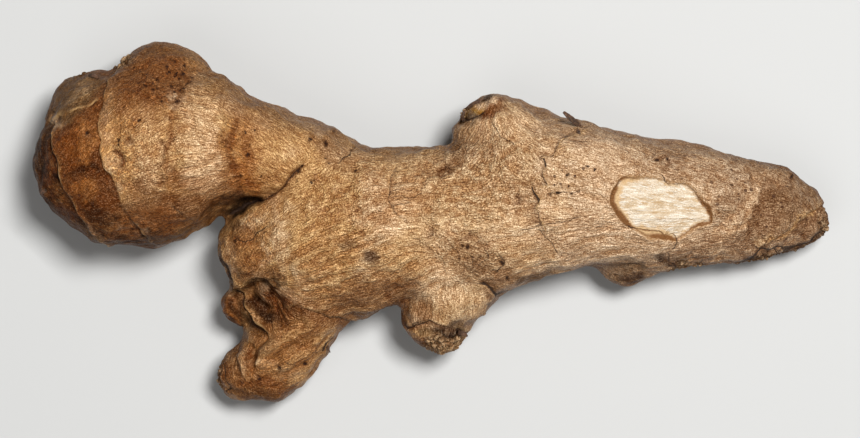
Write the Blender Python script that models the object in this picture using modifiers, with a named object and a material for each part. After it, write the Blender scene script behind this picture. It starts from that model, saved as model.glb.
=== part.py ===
"""Ginger root, a fresh rhizome lying on a flat surface.

One solid, as it grew: a rounded knob, a neck that swells into a long tapering body, a short finger below
it, and the stubs of its buds. Metres, +Z up. The origin is on the surface that the root lies on, below
the middle of its footprint, and the body tapers towards +X.
"""

import math

import bmesh
import bpy
from mathutils import Vector

MM = 0.001

# Driving dimensions, in millimetres.
RING_SIDES = 28  # points round each cross-section of a limb
RING_PITCH = 1.6  # distance between cross-sections along a limb
ROOT_ROUNDING = 0.3  # how far a limb's root end bulges, as a share of its half height
TIP_ROUNDING = 0.35  # the same at its tip
VOXEL = 0.8  # cell size with which the limbs are grown together
JOIN_SMOOTHING = 5  # passes that round the joins between limbs
RESTING_DEPTH = 0.7  # how far the underside is pressed flat where it lies
CUTTER_SIDE = 300.0  # side of the square block that presses the underside flat
CUTTER_HEIGHT = 20.0
FACES_KEPT = 0.17  # share of the faces that the finished solid keeps

# Each limb is a row of cross-sections from its root to its tip: the centre (x, y, z), the half width
# measured level across the limb, and the half height.
LIMBS = {
    "body": [
        (-36.0, -5.4, 9.6, 4.8, 5.4),
        (-34.4, -5.4, 10.0, 7.2, 7.4),
        (-31.0, -4.8, 10.6, 9.8, 9.2),
        (-22.5, -3.3, 11.6, 13.2, 11.0),
        (-14.0, -1.9, 12.2, 15.0, 12.0),
        (-7.5, -1.0, 12.3, 14.0, 12.1),
        (1.0, -0.7, 12.6, 13.7, 12.0),
        (8.0, 0.4, 13.0, 13.8, 12.0),
        (14.0, 2.8, 13.3, 14.4, 11.9),
        (21.5, 4.7, 13.0, 13.9, 11.6),
        (29.5, 3.9, 12.0, 12.3, 11.0),
        (37.5, 2.7, 10.9, 11.7, 10.3),
        (45.5, 2.4, 9.7, 11.0, 9.4),
        (53.5, 1.8, 8.9, 9.5, 8.2),
        (61.0, 1.5, 8.3, 7.9, 6.7),
        (66.0, 0.0, 7.9, 5.5, 4.9),
        (68.8, -1.2, 7.6, 2.9, 3.0),
    ],
    "knob": [
        (-12.0, 4.2, 12.0, 7.6, 8.5),
        (-19.0, 8.0, 12.6, 8.3, 9.4),
        (-26.0, 10.3, 13.2, 8.5, 10.2),
        (-32.0, 11.9, 13.8, 9.8, 11.4),
        (-38.0, 12.7, 14.3, 12.8, 12.8),
        (-44.5, 12.0, 14.6, 15.3, 13.9),
        (-51.0, 11.5, 14.4, 16.2, 14.2),
        (-57.5, 10.8, 13.7, 15.1, 13.4),
        (-63.0, 10.0, 12.8, 12.5, 11.2),
        (-67.0, 9.5, 12.2, 7.7, 7.6),
        (-69.0, 9.4, 12.0, 3.9, 4.2),
    ],
    "knob_crown": [
        (-47.5, 12.0, 15.0, 9.5, 9.0),
        (-47.2, 18.0, 15.0, 9.2, 9.0),
        (-46.9, 23.5, 14.6, 8.8, 8.2),
        (-46.6, 27.8, 14.2, 7.4, 6.2),
        (-46.6, 30.0, 14.0, 4.7, 3.6),
    ],
    "knob_shoulder": [
        (-54.0, 12.0, 14.0, 9.5, 9.0),
        (-58.6, 17.2, 14.0, 8.2, 8.4),
        (-61.6, 21.4, 13.8, 6.2, 6.0),
        (-62.8, 23.6, 13.6, 3.6, 3.0),
    ],
    "lower_finger": [
        (-15.0, -6.0, 11.0, 9.0, 9.0),
        (-20.8, -13.2, 9.8, 8.1, 8.6),
        (-24.6, -19.6, 8.6, 7.4, 7.8),
        (-27.8, -24.6, 7.4, 7.1, 7.2),
        (-33.4, -27.2, 7.2, 5.8, 5.8),
        (-36.8, -27.8, 6.8, 3.8, 3.4),
    ],
    "side_nub": [
        (-30.0, -12.8, 9.4, 3.4, 3.6),
        (-34.4, -15.0, 9.0, 3.2, 3.2),
        (-37.0, -15.7, 8.8, 2.2, 2.0),
    ],
    "lower_bud": [
        (3.2, -6.0, 11.6, 9.2, 9.0),
        (2.4, -13.0, 11.2, 8.4, 8.4),
        (1.5, -17.2, 10.6, 7.0, 7.0),
        (2.1, -20.4, 10.2, 4.8, 5.2),
        (2.8, -22.4, 10.0, 3.2, 3.6),
    ],
    "upper_bud": [
        (15.8, 7.0, 12.2, 9.6, 9.2),
        (13.3, 13.4, 12.6, 9.6, 8.4),
        (12.3, 17.4, 13.0, 8.5, 7.4),
        (11.9, 19.8, 13.2, 6.0, 5.6),
        (12.2, 21.2, 13.2, 3.9, 4.0),
    ],
    "small_bud": [
        (36.0, -1.5, 9.4, 6.4, 6.0),
        (34.6, -6.0, 9.0, 5.8, 5.2),
        (34.0, -9.4, 8.6, 4.5, 3.8),
        (34.0, -11.0, 8.4, 2.7, 2.2),
    ],
}


def eased(values, place):
    """The Catmull-Rom curve through a list of vectors, read at a place from 0 to len - 1."""
    last = len(values) - 1
    index = min(int(place), last - 1)
    t = place - index
    before = values[max(index - 1, 0)]
    start = values[index]
    end = values[index + 1]
    after = values[min(index + 2, last)]
    slope_in = (end - before) * 0.5
    slope_out = (after - start) * 0.5
    return (
        start * (2 * t**3 - 3 * t**2 + 1)
        + slope_in * (t**3 - 2 * t**2 + t)
        + end * (3 * t**2 - 2 * t**3)
        + slope_out * (t**3 - t**2)
    )


def stations(limb):
    """(centre, half width, half height) at an even pitch along the limb, in metres."""
    centres = [Vector(row[:3]) * MM for row in limb]
    radii = [Vector((row[3], row[4], 0)) * MM for row in limb]
    found = []
    for index in range(len(limb) - 1):
        gap = (centres[index + 1] - centres[index]).length
        steps = max(1, round(gap / (RING_PITCH * MM)))
        for step in range(steps):
            found.append(index + step / steps)
    found.append(len(limb) - 1)
    return [(eased(centres, place), eased(radii, place)) for place in found]


def add_limb(mesh, limb):
    """Lofts one limb: elliptical rings square to its course, closed at the root and tip by rounded ends."""
    rings = stations(limb)
    previous = None
    for index, (centre, radius) in enumerate(rings):
        ahead = rings[min(index + 1, len(rings) - 1)][0]
        behind = rings[max(index - 1, 0)][0]
        along = (ahead - behind).normalized()
        across = Vector((0, 0, 1)).cross(along).normalized()
        up = along.cross(across)
        ring = []
        for side in range(RING_SIDES):
            turn = 2 * math.pi * side / RING_SIDES
            offset = across * (radius.x * math.cos(turn)) + up * (radius.y * math.sin(turn))
            ring.append(mesh.verts.new(centre + offset))
        if previous:
            for side in range(RING_SIDES):
                after = (side + 1) % RING_SIDES
                mesh.faces.new((previous[side], previous[after], ring[after], ring[side]))
        else:
            first_ring, first_point = ring, centre - along * (radius.y * ROOT_ROUNDING)
        previous = ring
    cap(mesh, previous, centre + along * (radius.y * TIP_ROUNDING))
    cap(mesh, list(reversed(first_ring)), first_point)


def cap(mesh, ring, point):
    """Closes a ring with a fan of triangles to one point."""
    peak = mesh.verts.new(point)
    for side, corner in enumerate(ring):
        mesh.faces.new((corner, ring[(side + 1) % len(ring)], peak))


def new_object(name, data, collection):
    made = bpy.data.objects.new(name, data)
    collection.objects.link(made)
    return made


def root_skin():
    """The root's material: pale tan skin with a slight waxy shine."""
    material = bpy.data.materials.new("ginger_skin")
    material.use_nodes = True
    shader = material.node_tree.nodes["Principled BSDF"]
    shader.inputs["Base Color"].default_value = (0.42, 0.25, 0.11, 1)
    shader.inputs["Roughness"].default_value = 0.5
    shader.inputs["Metallic"].default_value = 0
    return material


def resting_cutter(collection):
    """A block below the surface that the root lies on: it presses the underside flat at z = 0."""
    mesh = bmesh.new()
    bmesh.ops.create_cube(mesh, size=1)
    bmesh.ops.scale(mesh, vec=(CUTTER_SIDE * MM, CUTTER_SIDE * MM, CUTTER_HEIGHT * MM), verts=mesh.verts)
    bmesh.ops.translate(mesh, vec=(0, 0, -CUTTER_HEIGHT * MM / 2), verts=mesh.verts)
    data = bpy.data.meshes.new("resting_cutter")
    mesh.to_mesh(data)
    mesh.free()
    cutter = new_object("resting_cutter", data, collection)
    cutter.hide_render = True
    cutter.display_type = "WIRE"
    return cutter


def grown_together(root):
    """Adds the modifiers that turn the overlapping limbs into one smooth skin."""
    fuse = root.modifiers.new("fuse_limbs", "REMESH")
    fuse.mode = "VOXEL"
    fuse.voxel_size = VOXEL * MM
    soften = root.modifiers.new("soften_joins", "SMOOTH")
    soften.factor = 0.5
    soften.iterations = JOIN_SMOOTHING
    thin = root.modifiers.new("thin_faces", "DECIMATE")
    thin.ratio = FACES_KEPT


def evaluated_mesh(root):
    """The object's mesh with its modifiers applied."""
    bpy.context.view_layer.update()
    graph = bpy.context.evaluated_depsgraph_get()
    return bpy.data.meshes.new_from_object(root.evaluated_get(graph))


def centre_on_footprint(data):
    """Centres the mesh's box over the origin, with its lowest point RESTING_DEPTH below z = 0."""
    lows = [min(v.co[axis] for v in data.vertices) for axis in range(3)]
    highs = [max(v.co[axis] for v in data.vertices) for axis in range(3)]
    shift = Vector((-(lows[0] + highs[0]) / 2, -(lows[1] + highs[1]) / 2, -lows[2] - RESTING_DEPTH * MM))
    for vertex in data.vertices:
        vertex.co += shift


def build():
    for old in list(bpy.data.objects):
        bpy.data.objects.remove(old)
    parts = bpy.data.collections.new("ginger_root_parts")
    cutters = bpy.data.collections.new("cutters")
    bpy.context.scene.collection.children.link(parts)
    bpy.context.scene.collection.children.link(cutters)

    mesh = bmesh.new()
    for limb in LIMBS.values():
        add_limb(mesh, limb)
    bmesh.ops.recalc_face_normals(mesh, faces=mesh.faces)
    data = bpy.data.meshes.new("ginger_root")
    mesh.to_mesh(data)
    mesh.free()

    root = new_object("ginger_root", data, parts)
    grown_together(root)
    grown = evaluated_mesh(root)
    root.modifiers.clear()
    root.data = grown
    centre_on_footprint(grown)
    grown.materials.clear()
    grown.materials.append(root_skin())

    flatten = root.modifiers.new("flatten_underside", "BOOLEAN")
    flatten.operation = "DIFFERENCE"
    flatten.object = resting_cutter(cutters)
    grown.shade_smooth()


build()
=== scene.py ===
import math

import bmesh
import bpy
import numpy as np
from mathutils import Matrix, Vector


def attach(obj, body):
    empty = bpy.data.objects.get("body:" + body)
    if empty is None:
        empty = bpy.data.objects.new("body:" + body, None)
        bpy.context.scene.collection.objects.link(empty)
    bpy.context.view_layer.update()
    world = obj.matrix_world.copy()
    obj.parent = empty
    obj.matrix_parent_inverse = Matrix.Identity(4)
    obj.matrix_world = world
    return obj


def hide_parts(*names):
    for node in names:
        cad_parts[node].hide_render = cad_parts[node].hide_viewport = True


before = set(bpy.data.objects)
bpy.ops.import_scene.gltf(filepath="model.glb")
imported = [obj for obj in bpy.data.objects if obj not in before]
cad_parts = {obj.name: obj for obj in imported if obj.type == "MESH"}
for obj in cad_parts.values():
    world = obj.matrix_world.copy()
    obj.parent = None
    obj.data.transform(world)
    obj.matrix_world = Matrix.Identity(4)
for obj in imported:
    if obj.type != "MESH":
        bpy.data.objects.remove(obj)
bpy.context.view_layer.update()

mm = 0.001
solid = "ginger_root"
print("ginger: frame loaded,", len(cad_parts), "solid")

# small tools that every stage shares


def smoothStep(low, high, value):
    t = np.clip((value - low) / (high - low), 0, 1)
    return t * t * (3 - 2 * t)


def bell(value, width):
    return np.exp(-((value / width) ** 2))


def unit(vectors):
    return vectors / np.maximum(np.linalg.norm(vectors, axis=-1, keepdims=True), 1e-9)


def added(name, data):
    thing = bpy.data.objects.new(name, data)
    bpy.context.scene.collection.objects.link(thing)
    return thing


def smoothCurve(rows, pitch, closed=False):
    # Catmull-Rom through the given points, read about every pitch mm
    rows = np.array(rows, float)
    last = len(rows) if closed else len(rows) - 1
    found = []
    for index in range(last):
        if closed:
            before, start, end, after = (rows[(index + k) % len(rows)] for k in (-1, 0, 1, 2))
        else:
            before, start = rows[max(index - 1, 0)], rows[index]
            end, after = rows[index + 1], rows[min(index + 2, last)]
        steps = max(2, round(np.linalg.norm(end - start) / pitch))
        t = (np.arange(steps) / steps)[:, None]
        slopeIn, slopeOut = (end - before) / 2, (after - start) / 2
        found.append(
            start * (2 * t**3 - 3 * t**2 + 1)
            + slopeIn * (t**3 - 2 * t**2 + t)
            + end * (3 * t**2 - 2 * t**3)
            + slopeOut * (t**3 - t**2)
        )
    if not closed:
        found.append(rows[-1:])
    return np.concatenate(found)


def followRoute(plan, rows, reach=5.0, closed=False):
    # signed mm across the route, + on the left of its course, and the place along it from 0 to 1
    route = smoothCurve(rows, pitch=0.3, closed=closed)
    ahead = np.roll(route, -1, 0) - np.roll(route, 1, 0) if closed else np.gradient(route, axis=0)
    ahead = unit(ahead)
    across, place = np.full(len(plan), 2.0 * reach), np.zeros(len(plan))
    near = ((plan > route.min(0) - reach) & (plan < route.max(0) + reach)).all(1).nonzero()[0]
    if len(near) == 0:
        return across, place
    local = plan[near]
    gap = (route**2).sum(1) - 2 * local @ route.T
    index = gap.argmin(1)
    offset, course = local - route[index], ahead[index]
    side = course[:, 0] * offset[:, 1] - course[:, 1] * offset[:, 0]
    past = np.abs((offset * course).sum(1))
    if not closed:
        past = np.where((index == 0) | (index == len(route) - 1), past, 0)
    sign = np.where(side < 0, -1.0, 1.0)
    across[near] = sign * np.clip(np.hypot(side, past), 0, 2 * reach)
    place[near] = index / (len(route) - 1)
    return across, place


def fadeEnds(place, start, end, past=0.0):
    # 1 along a route and 0 at both its ends; start and end are the shares of it that fade
    return smoothStep(-past, start, place) * smoothStep(1 + past, 1 - end, place)


dice = np.random.default_rng(11)
tableSize = 1024  # a power of two, because mixedKey cuts its key with a mask
slopeTable = unit(dice.normal(size=(tableSize, 3)))
shareTable = dice.random(size=(tableSize, 4))


def mixedKey(corner, seed):
    # a row of the tables for each lattice corner
    key = corner[:, 0] * 73856093 ^ corner[:, 1] * 19349663 ^ corner[:, 2] * 83492791
    key = key ^ (seed * 97531 + 1013)
    return (key ^ (key >> 11) ^ (key >> 21)) & (tableSize - 1)


def noise(spots, seed=0):
    # gradient noise, about -1 to 1, one lattice cell a unit
    gain = 1.6
    cell = np.floor(spots).astype(np.int64)
    inside = spots - cell
    fade = inside**3 * (inside * (inside * 6 - 15) + 10)
    total = np.zeros(len(spots))
    for dx in (0, 1):
        for dy in (0, 1):
            for dz in (0, 1):
                weight = np.where(dx, fade[:, 0], 1 - fade[:, 0])
                weight = weight * np.where(dy, fade[:, 1], 1 - fade[:, 1])
                weight = weight * np.where(dz, fade[:, 2], 1 - fade[:, 2])
                slope = slopeTable[mixedKey(cell + (dx, dy, dz), seed)]
                total += weight * np.einsum("ij,ij->i", slope, inside - (dx, dy, dz))
    return total * gain


def crumbs(spots, seed=0):
    # cracked crumbs: distance to the crack round each, in cells, and a number for each crumb
    cell = np.floor(spots).astype(np.int64)
    first, second = np.full(len(spots), 9.0), np.full(len(spots), 9.0)
    number = np.zeros(len(spots))
    for dx in (-1, 0, 1):
        for dy in (-1, 0, 1):
            for dz in (-1, 0, 1):
                corner = cell + (dx, dy, dz)
                share = shareTable[mixedKey(corner, seed)]
                gap = np.linalg.norm(corner + share[:, :3] - spots, axis=1)
                closer = gap < first
                second = np.where(closer, first, np.minimum(second, gap))
                number = np.where(closer, share[:, 3], number)
                first = np.where(closer, gap, first)
    return second - first, number


# the fine mesh that the skin is worked on

skin = {
    "voxel": 0.27,  # mm
    "smoothing": 70,  # passes that take the solid's facets away
    "mostTriangles": 197000,
}


def evaluated(thing):
    graph = bpy.context.evaluated_depsgraph_get()
    return bpy.data.meshes.new_from_object(thing.evaluated_get(graph))


def fineCopy(source):
    thing = added("ginger_skin", source.data.copy())
    thing.data.materials.clear()
    grow = thing.modifiers.new("fineCells", "REMESH")
    grow.mode = "VOXEL"
    grow.voxel_size = skin["voxel"] * mm
    ease = thing.modifiers.new("easeFacets", "SMOOTH")
    ease.factor = 0.5
    ease.iterations = skin["smoothing"]
    fine = evaluated(thing)
    thing.modifiers.clear()
    thing.data = fine
    return thing


def readVectors(collection, name):
    values = np.empty(len(collection) * 3, np.float32)
    collection.foreach_get(name, values)
    return values.reshape(-1, 3).astype(float)


def keep(data, name, values):
    # stores a number, or a row of three, for each point, for the material to read
    values = values.astype(np.float32)
    if values.ndim == 1:
        data.attributes.new(name, "FLOAT", "POINT").data.foreach_set("value", values)
    else:
        data.attributes.new(name, "FLOAT_VECTOR", "POINT").data.foreach_set("vector", values.reshape(-1))


root = fineCopy(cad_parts[solid])
spots = readVectors(root.data.vertices, "co") / mm
normals = readVectors(root.data.vertex_normals, "vector")
plan = spots[:, :2]
top = smoothStep(-0.1, 0.35, normals[:, 2])  # 1 on the upper side, 0 underneath
print("ginger: fine mesh has", len(spots), "points")

# the way the skin's grain runs: strokes combed over the root, (x, y, degrees from +X)

combing = [
    # knob, from its tip to its crown
    (-67, 11, -60), (-64, 4, -45), (-60, -1, -30), (-53, -4, -10), (-62, 12, 50), (-60, 6, 40),
    (-56, 3, 30), (-52, -1, 15), (-60, 17, 45), (-63, 22, 35), (-57, 24, 50), (-54, 15, 45), (-53, 8, 30),
    (-50, 4, 15), (-50, 19, 45), (-48, 11, 25), (-47, 16, 30), (-46, 6, 12), (-46, 1, 15), (-49, 27, 65),
    (-46, 30, 0), (-44, 25, 20), (-41, 27, -50), (-41, 21, -20), (-39, 18, -15), (-39, 14, -6),
    (-38, 10, 4), (-40, 6, 14), (-42, 2, 22), (-37, 23, -38), (-37, 5, 18),
    # neck, down into the fold
    (-34, 20, -35), (-34, 15, -18), (-34, 10, 0), (-33, 6, 12), (-31, 20, -33), (-29, 16, -28),
    (-30, 12, -22), (-31, 8, -10), (-28, 8.5, -38), (-26, 12, -40), (-24, 16, -35), (-20, 17, -32),
    (-23, 11.5, -48), (-20, 14.5, -42), (-17, 14, -20),
    # left of the body
    (-18, 9, 30), (-22, 6, 35), (-26, 3, 38), (-22, 1, 30), (-19, -5, 24), (-15, 5, 18), (-12, 9, 0),
    (-8, 12, -3), (-14, -1, 14), (-15, -10, 20), (-10, -8, 14), (-9, -12.5, 22), (-18, -14, 14),
    (-22, -8, 20), (-33, -2, 40), (-33, -7, 60), (-30, -5, 45), (-28, 0, 40),
    # middle of the body, and round the lower bud
    (-3, 8, 3), (0, 3, 1), (5, 8, 8), (8, 3, 0), (-2, -2, -4), (4, -4, -10), (13, 4, 0), (14, -3, 5),
    (-4.5, -9, 35), (-6, -13, 62), (-3.5, -12, 52), (-1, -8.5, 38), (2, -6.8, 12), (5.5, -7, -25),
    (8, -9, -50), (9.5, -14.5, -78), (2, -14, 86), (-1, -14, 68), (-4, -17, 80), (7, -16, -70),
    (2, -18, 88), (-1.5, -10.5, 48), (4, -12, -85), (14, -8, 22), (18, -7, 14), (23, -5.5, 6),
    # upper bud
    (5, 12.5, 62), (7, 16, 72), (10, 19, 85), (13.5, 18, -65), (12, 14, -72), (16, 13, -48),
    (20, 15.5, -28), (16, 17.5, -35), (8, 11, 50), (24, 15, -24),
    # right of the body, and the tip
    (22, 11, -12), (26, 6, -7), (30, 0, -5), (36, 11, -13), (45, 9.5, -15), (30, -5, 0), (38, -5, -2),
    (46, -5, 4), (33, -9, -40), (37, -9, 30), (50, 2, -4), (52, 8, -20), (57, 3, 5), (60, 8, -25),
    (62, 2, -5), (66, 4, -38), (57, -3, 8), (64, -1, 12), (68, 0, -60),
    # finger and nub
    (-17, -18, 45), (-22, -21, 38), (-28, -22, 36), (-31, -21, 58), (-34, -23.5, 78), (-33, -27, -60),
    (-29, -28, -15), (-24, -27, 15), (-20, -23, 45), (-28.5, -15.5, -62), (-30.2, -16.8, -80),
    (-26, -15, -38), (-23.6, -16, -20), (-27, -18.4, -40), (-24.4, -18.8, 20), (-35.5, -14.5, 10),
]


def combedCourse():
    # unit vectors along the grain, in the skin's surface
    batch = 20000  # points worked out at a time, to spare memory
    blending = 1.5  # square mm, so that no stroke pulls without limit
    strokes = np.array(combing, float)
    turns = 2 * np.radians(strokes[:, 2])  # doubled, because a streak has no front or back
    turn = np.empty(len(plan))
    for start in range(0, len(plan), batch):
        part = plan[start : start + batch]
        gap = ((part[:, None] - strokes[None, :, :2]) ** 2).sum(2)
        pull = 1 / (gap + blending) ** 2
        turn[start : start + batch] = np.arctan2(pull @ np.sin(turns), pull @ np.cos(turns)) / 2
    level = np.stack([np.cos(turn), np.sin(turn), np.zeros(len(turn))], axis=1)
    return unit(level - normals * (level * normals).sum(1)[:, None])


course = combedCourse()


def combedNoise(wavelength, length, seed, taps=9):
    # noise smeared along the grain, with a spread of 1
    total = np.zeros(len(spots))
    for step in np.linspace(-0.5, 0.5, taps):
        total += noise((spots + course * (step * length)) / wavelength, seed)
    return total / total.std()


def evenNoise(wavelength, seed):
    value = noise(spots / wavelength, seed)
    return value / value.std()


def wander(wavelength, seed, size):
    # mm to and fro across the plan, which make an edge ragged
    return np.stack([evenNoise(wavelength, seed), evenNoise(wavelength, seed + 1)], axis=1) * size


print("ginger: grain combed")

# relief in mm, outwards positive, and the skin's colour, worked out together

height = np.zeros(len(spots))
drop = np.zeros(len(spots))  # straight down, for cracks and hollows
sway = wander(4.0, seed=21, size=0.5) + wander(1.3, seed=23, size=0.3)  # for patches
fret = wander(2.6, seed=25, size=0.18)  # for lines

tones = {
    "gold": (0.62, 0.385, 0.165),
    "tan": (0.72, 0.53, 0.32),
    "pale": (0.84, 0.62, 0.40),
    "pink": (0.71, 0.54, 0.38),
    "cream": (0.66, 0.49, 0.30),
    "orange": (0.42, 0.20, 0.062),
    "rust": (0.20, 0.070, 0.017),
    "chestnut": (0.125, 0.036, 0.008),
    "brown": (0.25, 0.125, 0.052),
    "umber": (0.034, 0.0115, 0.005),
    "plum": (0.055, 0.025, 0.016),
    "olive": (0.19, 0.115, 0.052),
    "grey": (0.33, 0.225, 0.14),
    "bruise": (0.10, 0.055, 0.035),
    "yellow": (0.62, 0.34, 0.05),
    "nearBlack": (0.008, 0.005, 0.004),
}
redTint, sideShadeTint = (0.95, 0.79, 0.60), (0.74, 0.66, 0.56)
skinTone = np.ones((len(spots), 3))
traitNames = ("wrinkled", "ridged", "pebbled", "specked", "calm", "corked")
traits = {name: np.zeros(len(spots)) for name in traitNames}


def paint(tone, mask):
    # covers the skin with a tone
    global skinTone
    mask = np.clip(mask, 0, 1)[:, None]
    skinTone = skinTone * (1 - mask) + np.array(tones[tone]) * mask


def deepen(tint, mask):
    # multiplies the skin's colour by a tint
    global skinTone
    skinTone = skinTone * (1 - mask[:, None] * (1 - np.array(tint)))


def blob(x, y, along, across, turn=0.0, ragged=1.0, soft=0.5):
    # an oval, 1 in its middle and 0 outside, with a ragged edge
    turn = math.radians(turn)
    offset = plan - (x, y) + sway * ragged
    u = offset[:, 0] * math.cos(turn) + offset[:, 1] * math.sin(turn)
    v = offset[:, 1] * math.cos(turn) - offset[:, 0] * math.sin(turn)
    return smoothStep(1 + soft, 1 - soft, np.hypot(u / along, v / across))


def dab(rows, ragged, soft, where):
    for tone, x, y, along, across, turn, strength in rows:
        paint(tone, strength * blob(x, y, along, across, turn, ragged, soft) * where)


# ground colour: golden on the left, paler and pinker to the right, greyer at the tip
grounds = [
    # tone, x where it begins, x where it is full, how far the border wanders, its lean, share
    ("tan", -24, 12, 5, 0.0, 0.85),
    ("pink", 12, 28, 4, 0.0, 0.7),
    ("grey", 44, 56, 3, -0.3, 0.6),
]
paint("gold", np.ones(len(spots)))
for tone, begin, full, wandering, lean, share in grounds:
    paint(tone, share * smoothStep(begin, full, plan[:, 0] + wandering * sway[:, 0] + lean * plan[:, 1]))
paint("brown", smoothStep(0.2, 1.6, evenNoise(6, 61)) * 0.22)
paint("pale", smoothStep(0.4, 1.8, evenNoise(5, 62)) * 0.35)

# traits of the skin by place
traitPlaces = [
    # trait, x, y, along, across, turn, strength
    ("wrinkled", -39, 13, 7, 12, 0, 0.8), ("wrinkled", -29, 12, 9, 9, -30, 0.4),
    ("wrinkled", -49, 10, 6, 10, 0, 0.4), ("wrinkled", -14, -6, 16, 9, 15, 0.8),
    ("wrinkled", 4, 3, 16, 9, 0, 0.55), ("wrinkled", 27, 1, 15, 10, -5, 0.65),
    ("wrinkled", -3, -9, 4, 4, 0, 0.6), ("wrinkled", -27, -15.5, 4, 3, -30, 1.2),
    ("wrinkled", 12, 14, 12, 8, 0, 0.6), ("wrinkled", -26, -20, 11, 8, 30, 0.55),
    ("wrinkled", 44, -3, 8, 6, 0, 0.5), ("wrinkled", 42, 10, 10, 4, -12, 0.5),
    ("wrinkled", 58, 1, 11, 8, -20, 0.35), ("ridged", -15, -11, 12, 5, 20, 1.0),
    ("ridged", -19, -2, 8, 5, 25, 0.7), ("ridged", 1, 5, 10, 5, 0, 0.8),
    ("ridged", -29, 7, 4, 3, -30, 0.4), ("ridged", -28, -23, 8, 5, 30, 1.2),
    ("ridged", -3, -12, 5, 5, 45, 0.6), ("ridged", 15, -7, 7, 3, 15, 0.6),
    ("pebbled", -50, 12, 6, 8, 0, 0.9), ("pebbled", -14, 5, 9, 8, 20, 1.0),
    ("pebbled", 8, 8, 14, 8, 0, 1.0), ("pebbled", -31, -4, 6, 8, 0, 0.8),
    ("pebbled", -47, 25, 7, 6, 0, 0.7), ("pebbled", 58, 3, 14, 9, -20, 0.8),
    ("pebbled", 42, 9, 10, 5, -12, 0.7), ("pebbled", 6, -5, 6, 6, 0, 0.9),
    ("specked", -46, 26, 7, 5, 0, 0.9), ("specked", 60, 3, 12, 8, -20, 0.9),
    ("specked", -57, -1, 9, 5, -30, 0.6), ("specked", 6, -5, 5, 5, 0, 0.6),
    ("specked", -29, -25, 9, 6, 20, 0.6), ("specked", -31, -6, 6, 7, 0, 0.4),
    ("specked", 42, 9, 9, 4, -12, 0.5), ("specked", 34, -10, 5, 3, 0, 1.0),
    ("specked", 23.5, 8.2, 4.0, 2.4, 0, 1.0), ("specked", -62, 10, 6, 9, 0, 0.7),
    ("calm", -64, 10, 9, 13, 0, 0.5), ("calm", -60, 22, 7, 5, 30, 0.5), ("calm", -47, 26, 9, 6, 0, 0.5),
    ("calm", -50, -1, 12, 4, 0, 0.55), ("calm", -53, 12, 3.4, 8, 0, 0.45),
    ("calm", -31, 0.4, 2.6, 1.6, 42, 0.7), ("calm", -31, -3, 5, 8, 0, 0.4),
    ("calm", -29, -14, 4, 3, 0, 0.3), ("calm", -36, -15, 3, 3, 0, 0.7), ("calm", -29, -27, 9, 5, 15, 0.4),
    ("calm", 34.5, -10, 5, 3, 0, 0.5), ("calm", -34, 4, 4, 3, 30, 0.8),
    ("calm", -33.5, 12, 1.6, 8, 0, 0.5),
]
for trait, x, y, along, across, turn, strength in traitPlaces:
    place = blob(x, y, along, across, turn, ragged=1.5, soft=0.4)
    traits[trait] = np.maximum(traits[trait], strength * place)
for trait, least in (("wrinkled", 0.3), ("pebbled", 0.35), ("specked", 0.12)):
    traits[trait] = np.maximum(traits[trait], least)

# broad lumps and hollows
lumps = [(8.5, 0.24, 1), (4.0, 0.12, 2), (2.0, 0.06, 3)]  # wavelength, mm out, seed
for wavelength, out, seed in lumps:
    height += out * evenNoise(wavelength, seed)
swellings = [
    # x, y, along, across, turn, mm out
    (-66.3, 17.4, 2.2, 1.2, 70, -0.4), (-30.4, -12.8, 3.2, 1.9, -8, -1.6),
    (-26.2, -16.0, 4.6, 2.4, -25, -0.6), (-29.7, -13.0, 1.5, 1.0, -30, 1.5),
    (-28.4, -15.8, 2.8, 1.2, -35, -0.6), (-32.9, -23.6, 0.8, 2.3, 0, 1.0),
    (-29.4, -24.2, 2.2, 0.6, -5, 0.4), (-31.4, -22.9, 0.7, 1.9, 5, -0.8),
    (-25.6, -22.6, 3.4, 0.8, 32, -0.5), (-28.2, -21.4, 2.0, 0.5, 28, 0.5),
    (-20.8, -21.6, 2.6, 0.6, 45, 0.4), (-23.0, -19.4, 3.2, 0.8, 35, 0.4), (1.6, 9.2, 1.9, 0.8, 10, -0.6),
    (2.4, -11.5, 4.2, 3.4, 0, 0.6), (-1.6, -17.4, 3.2, 1.0, -25, -0.5), (-26.3, -2.6, 1.0, 5.5, 8, 0.35),
    (-44.0, 13.0, 0.8, 5.0, 5, -0.3), (-34.2, 14.0, 1.3, 6.0, 3, -0.45), (-31.8, 1.2, 3.0, 1.6, 35, 0.35),
    (47.0, -9.0, 6.0, 2.0, 10, -0.3), (53.6, 0.4, 1.3, 7.0, -32, 0.35), (58.6, 2.4, 2.0, 6.0, -32, -0.35),
]
for x, y, along, across, turn, out in swellings:
    height += out * blob(x, y, along, across, turn, ragged=0.3, soft=0.6) * top

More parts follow.
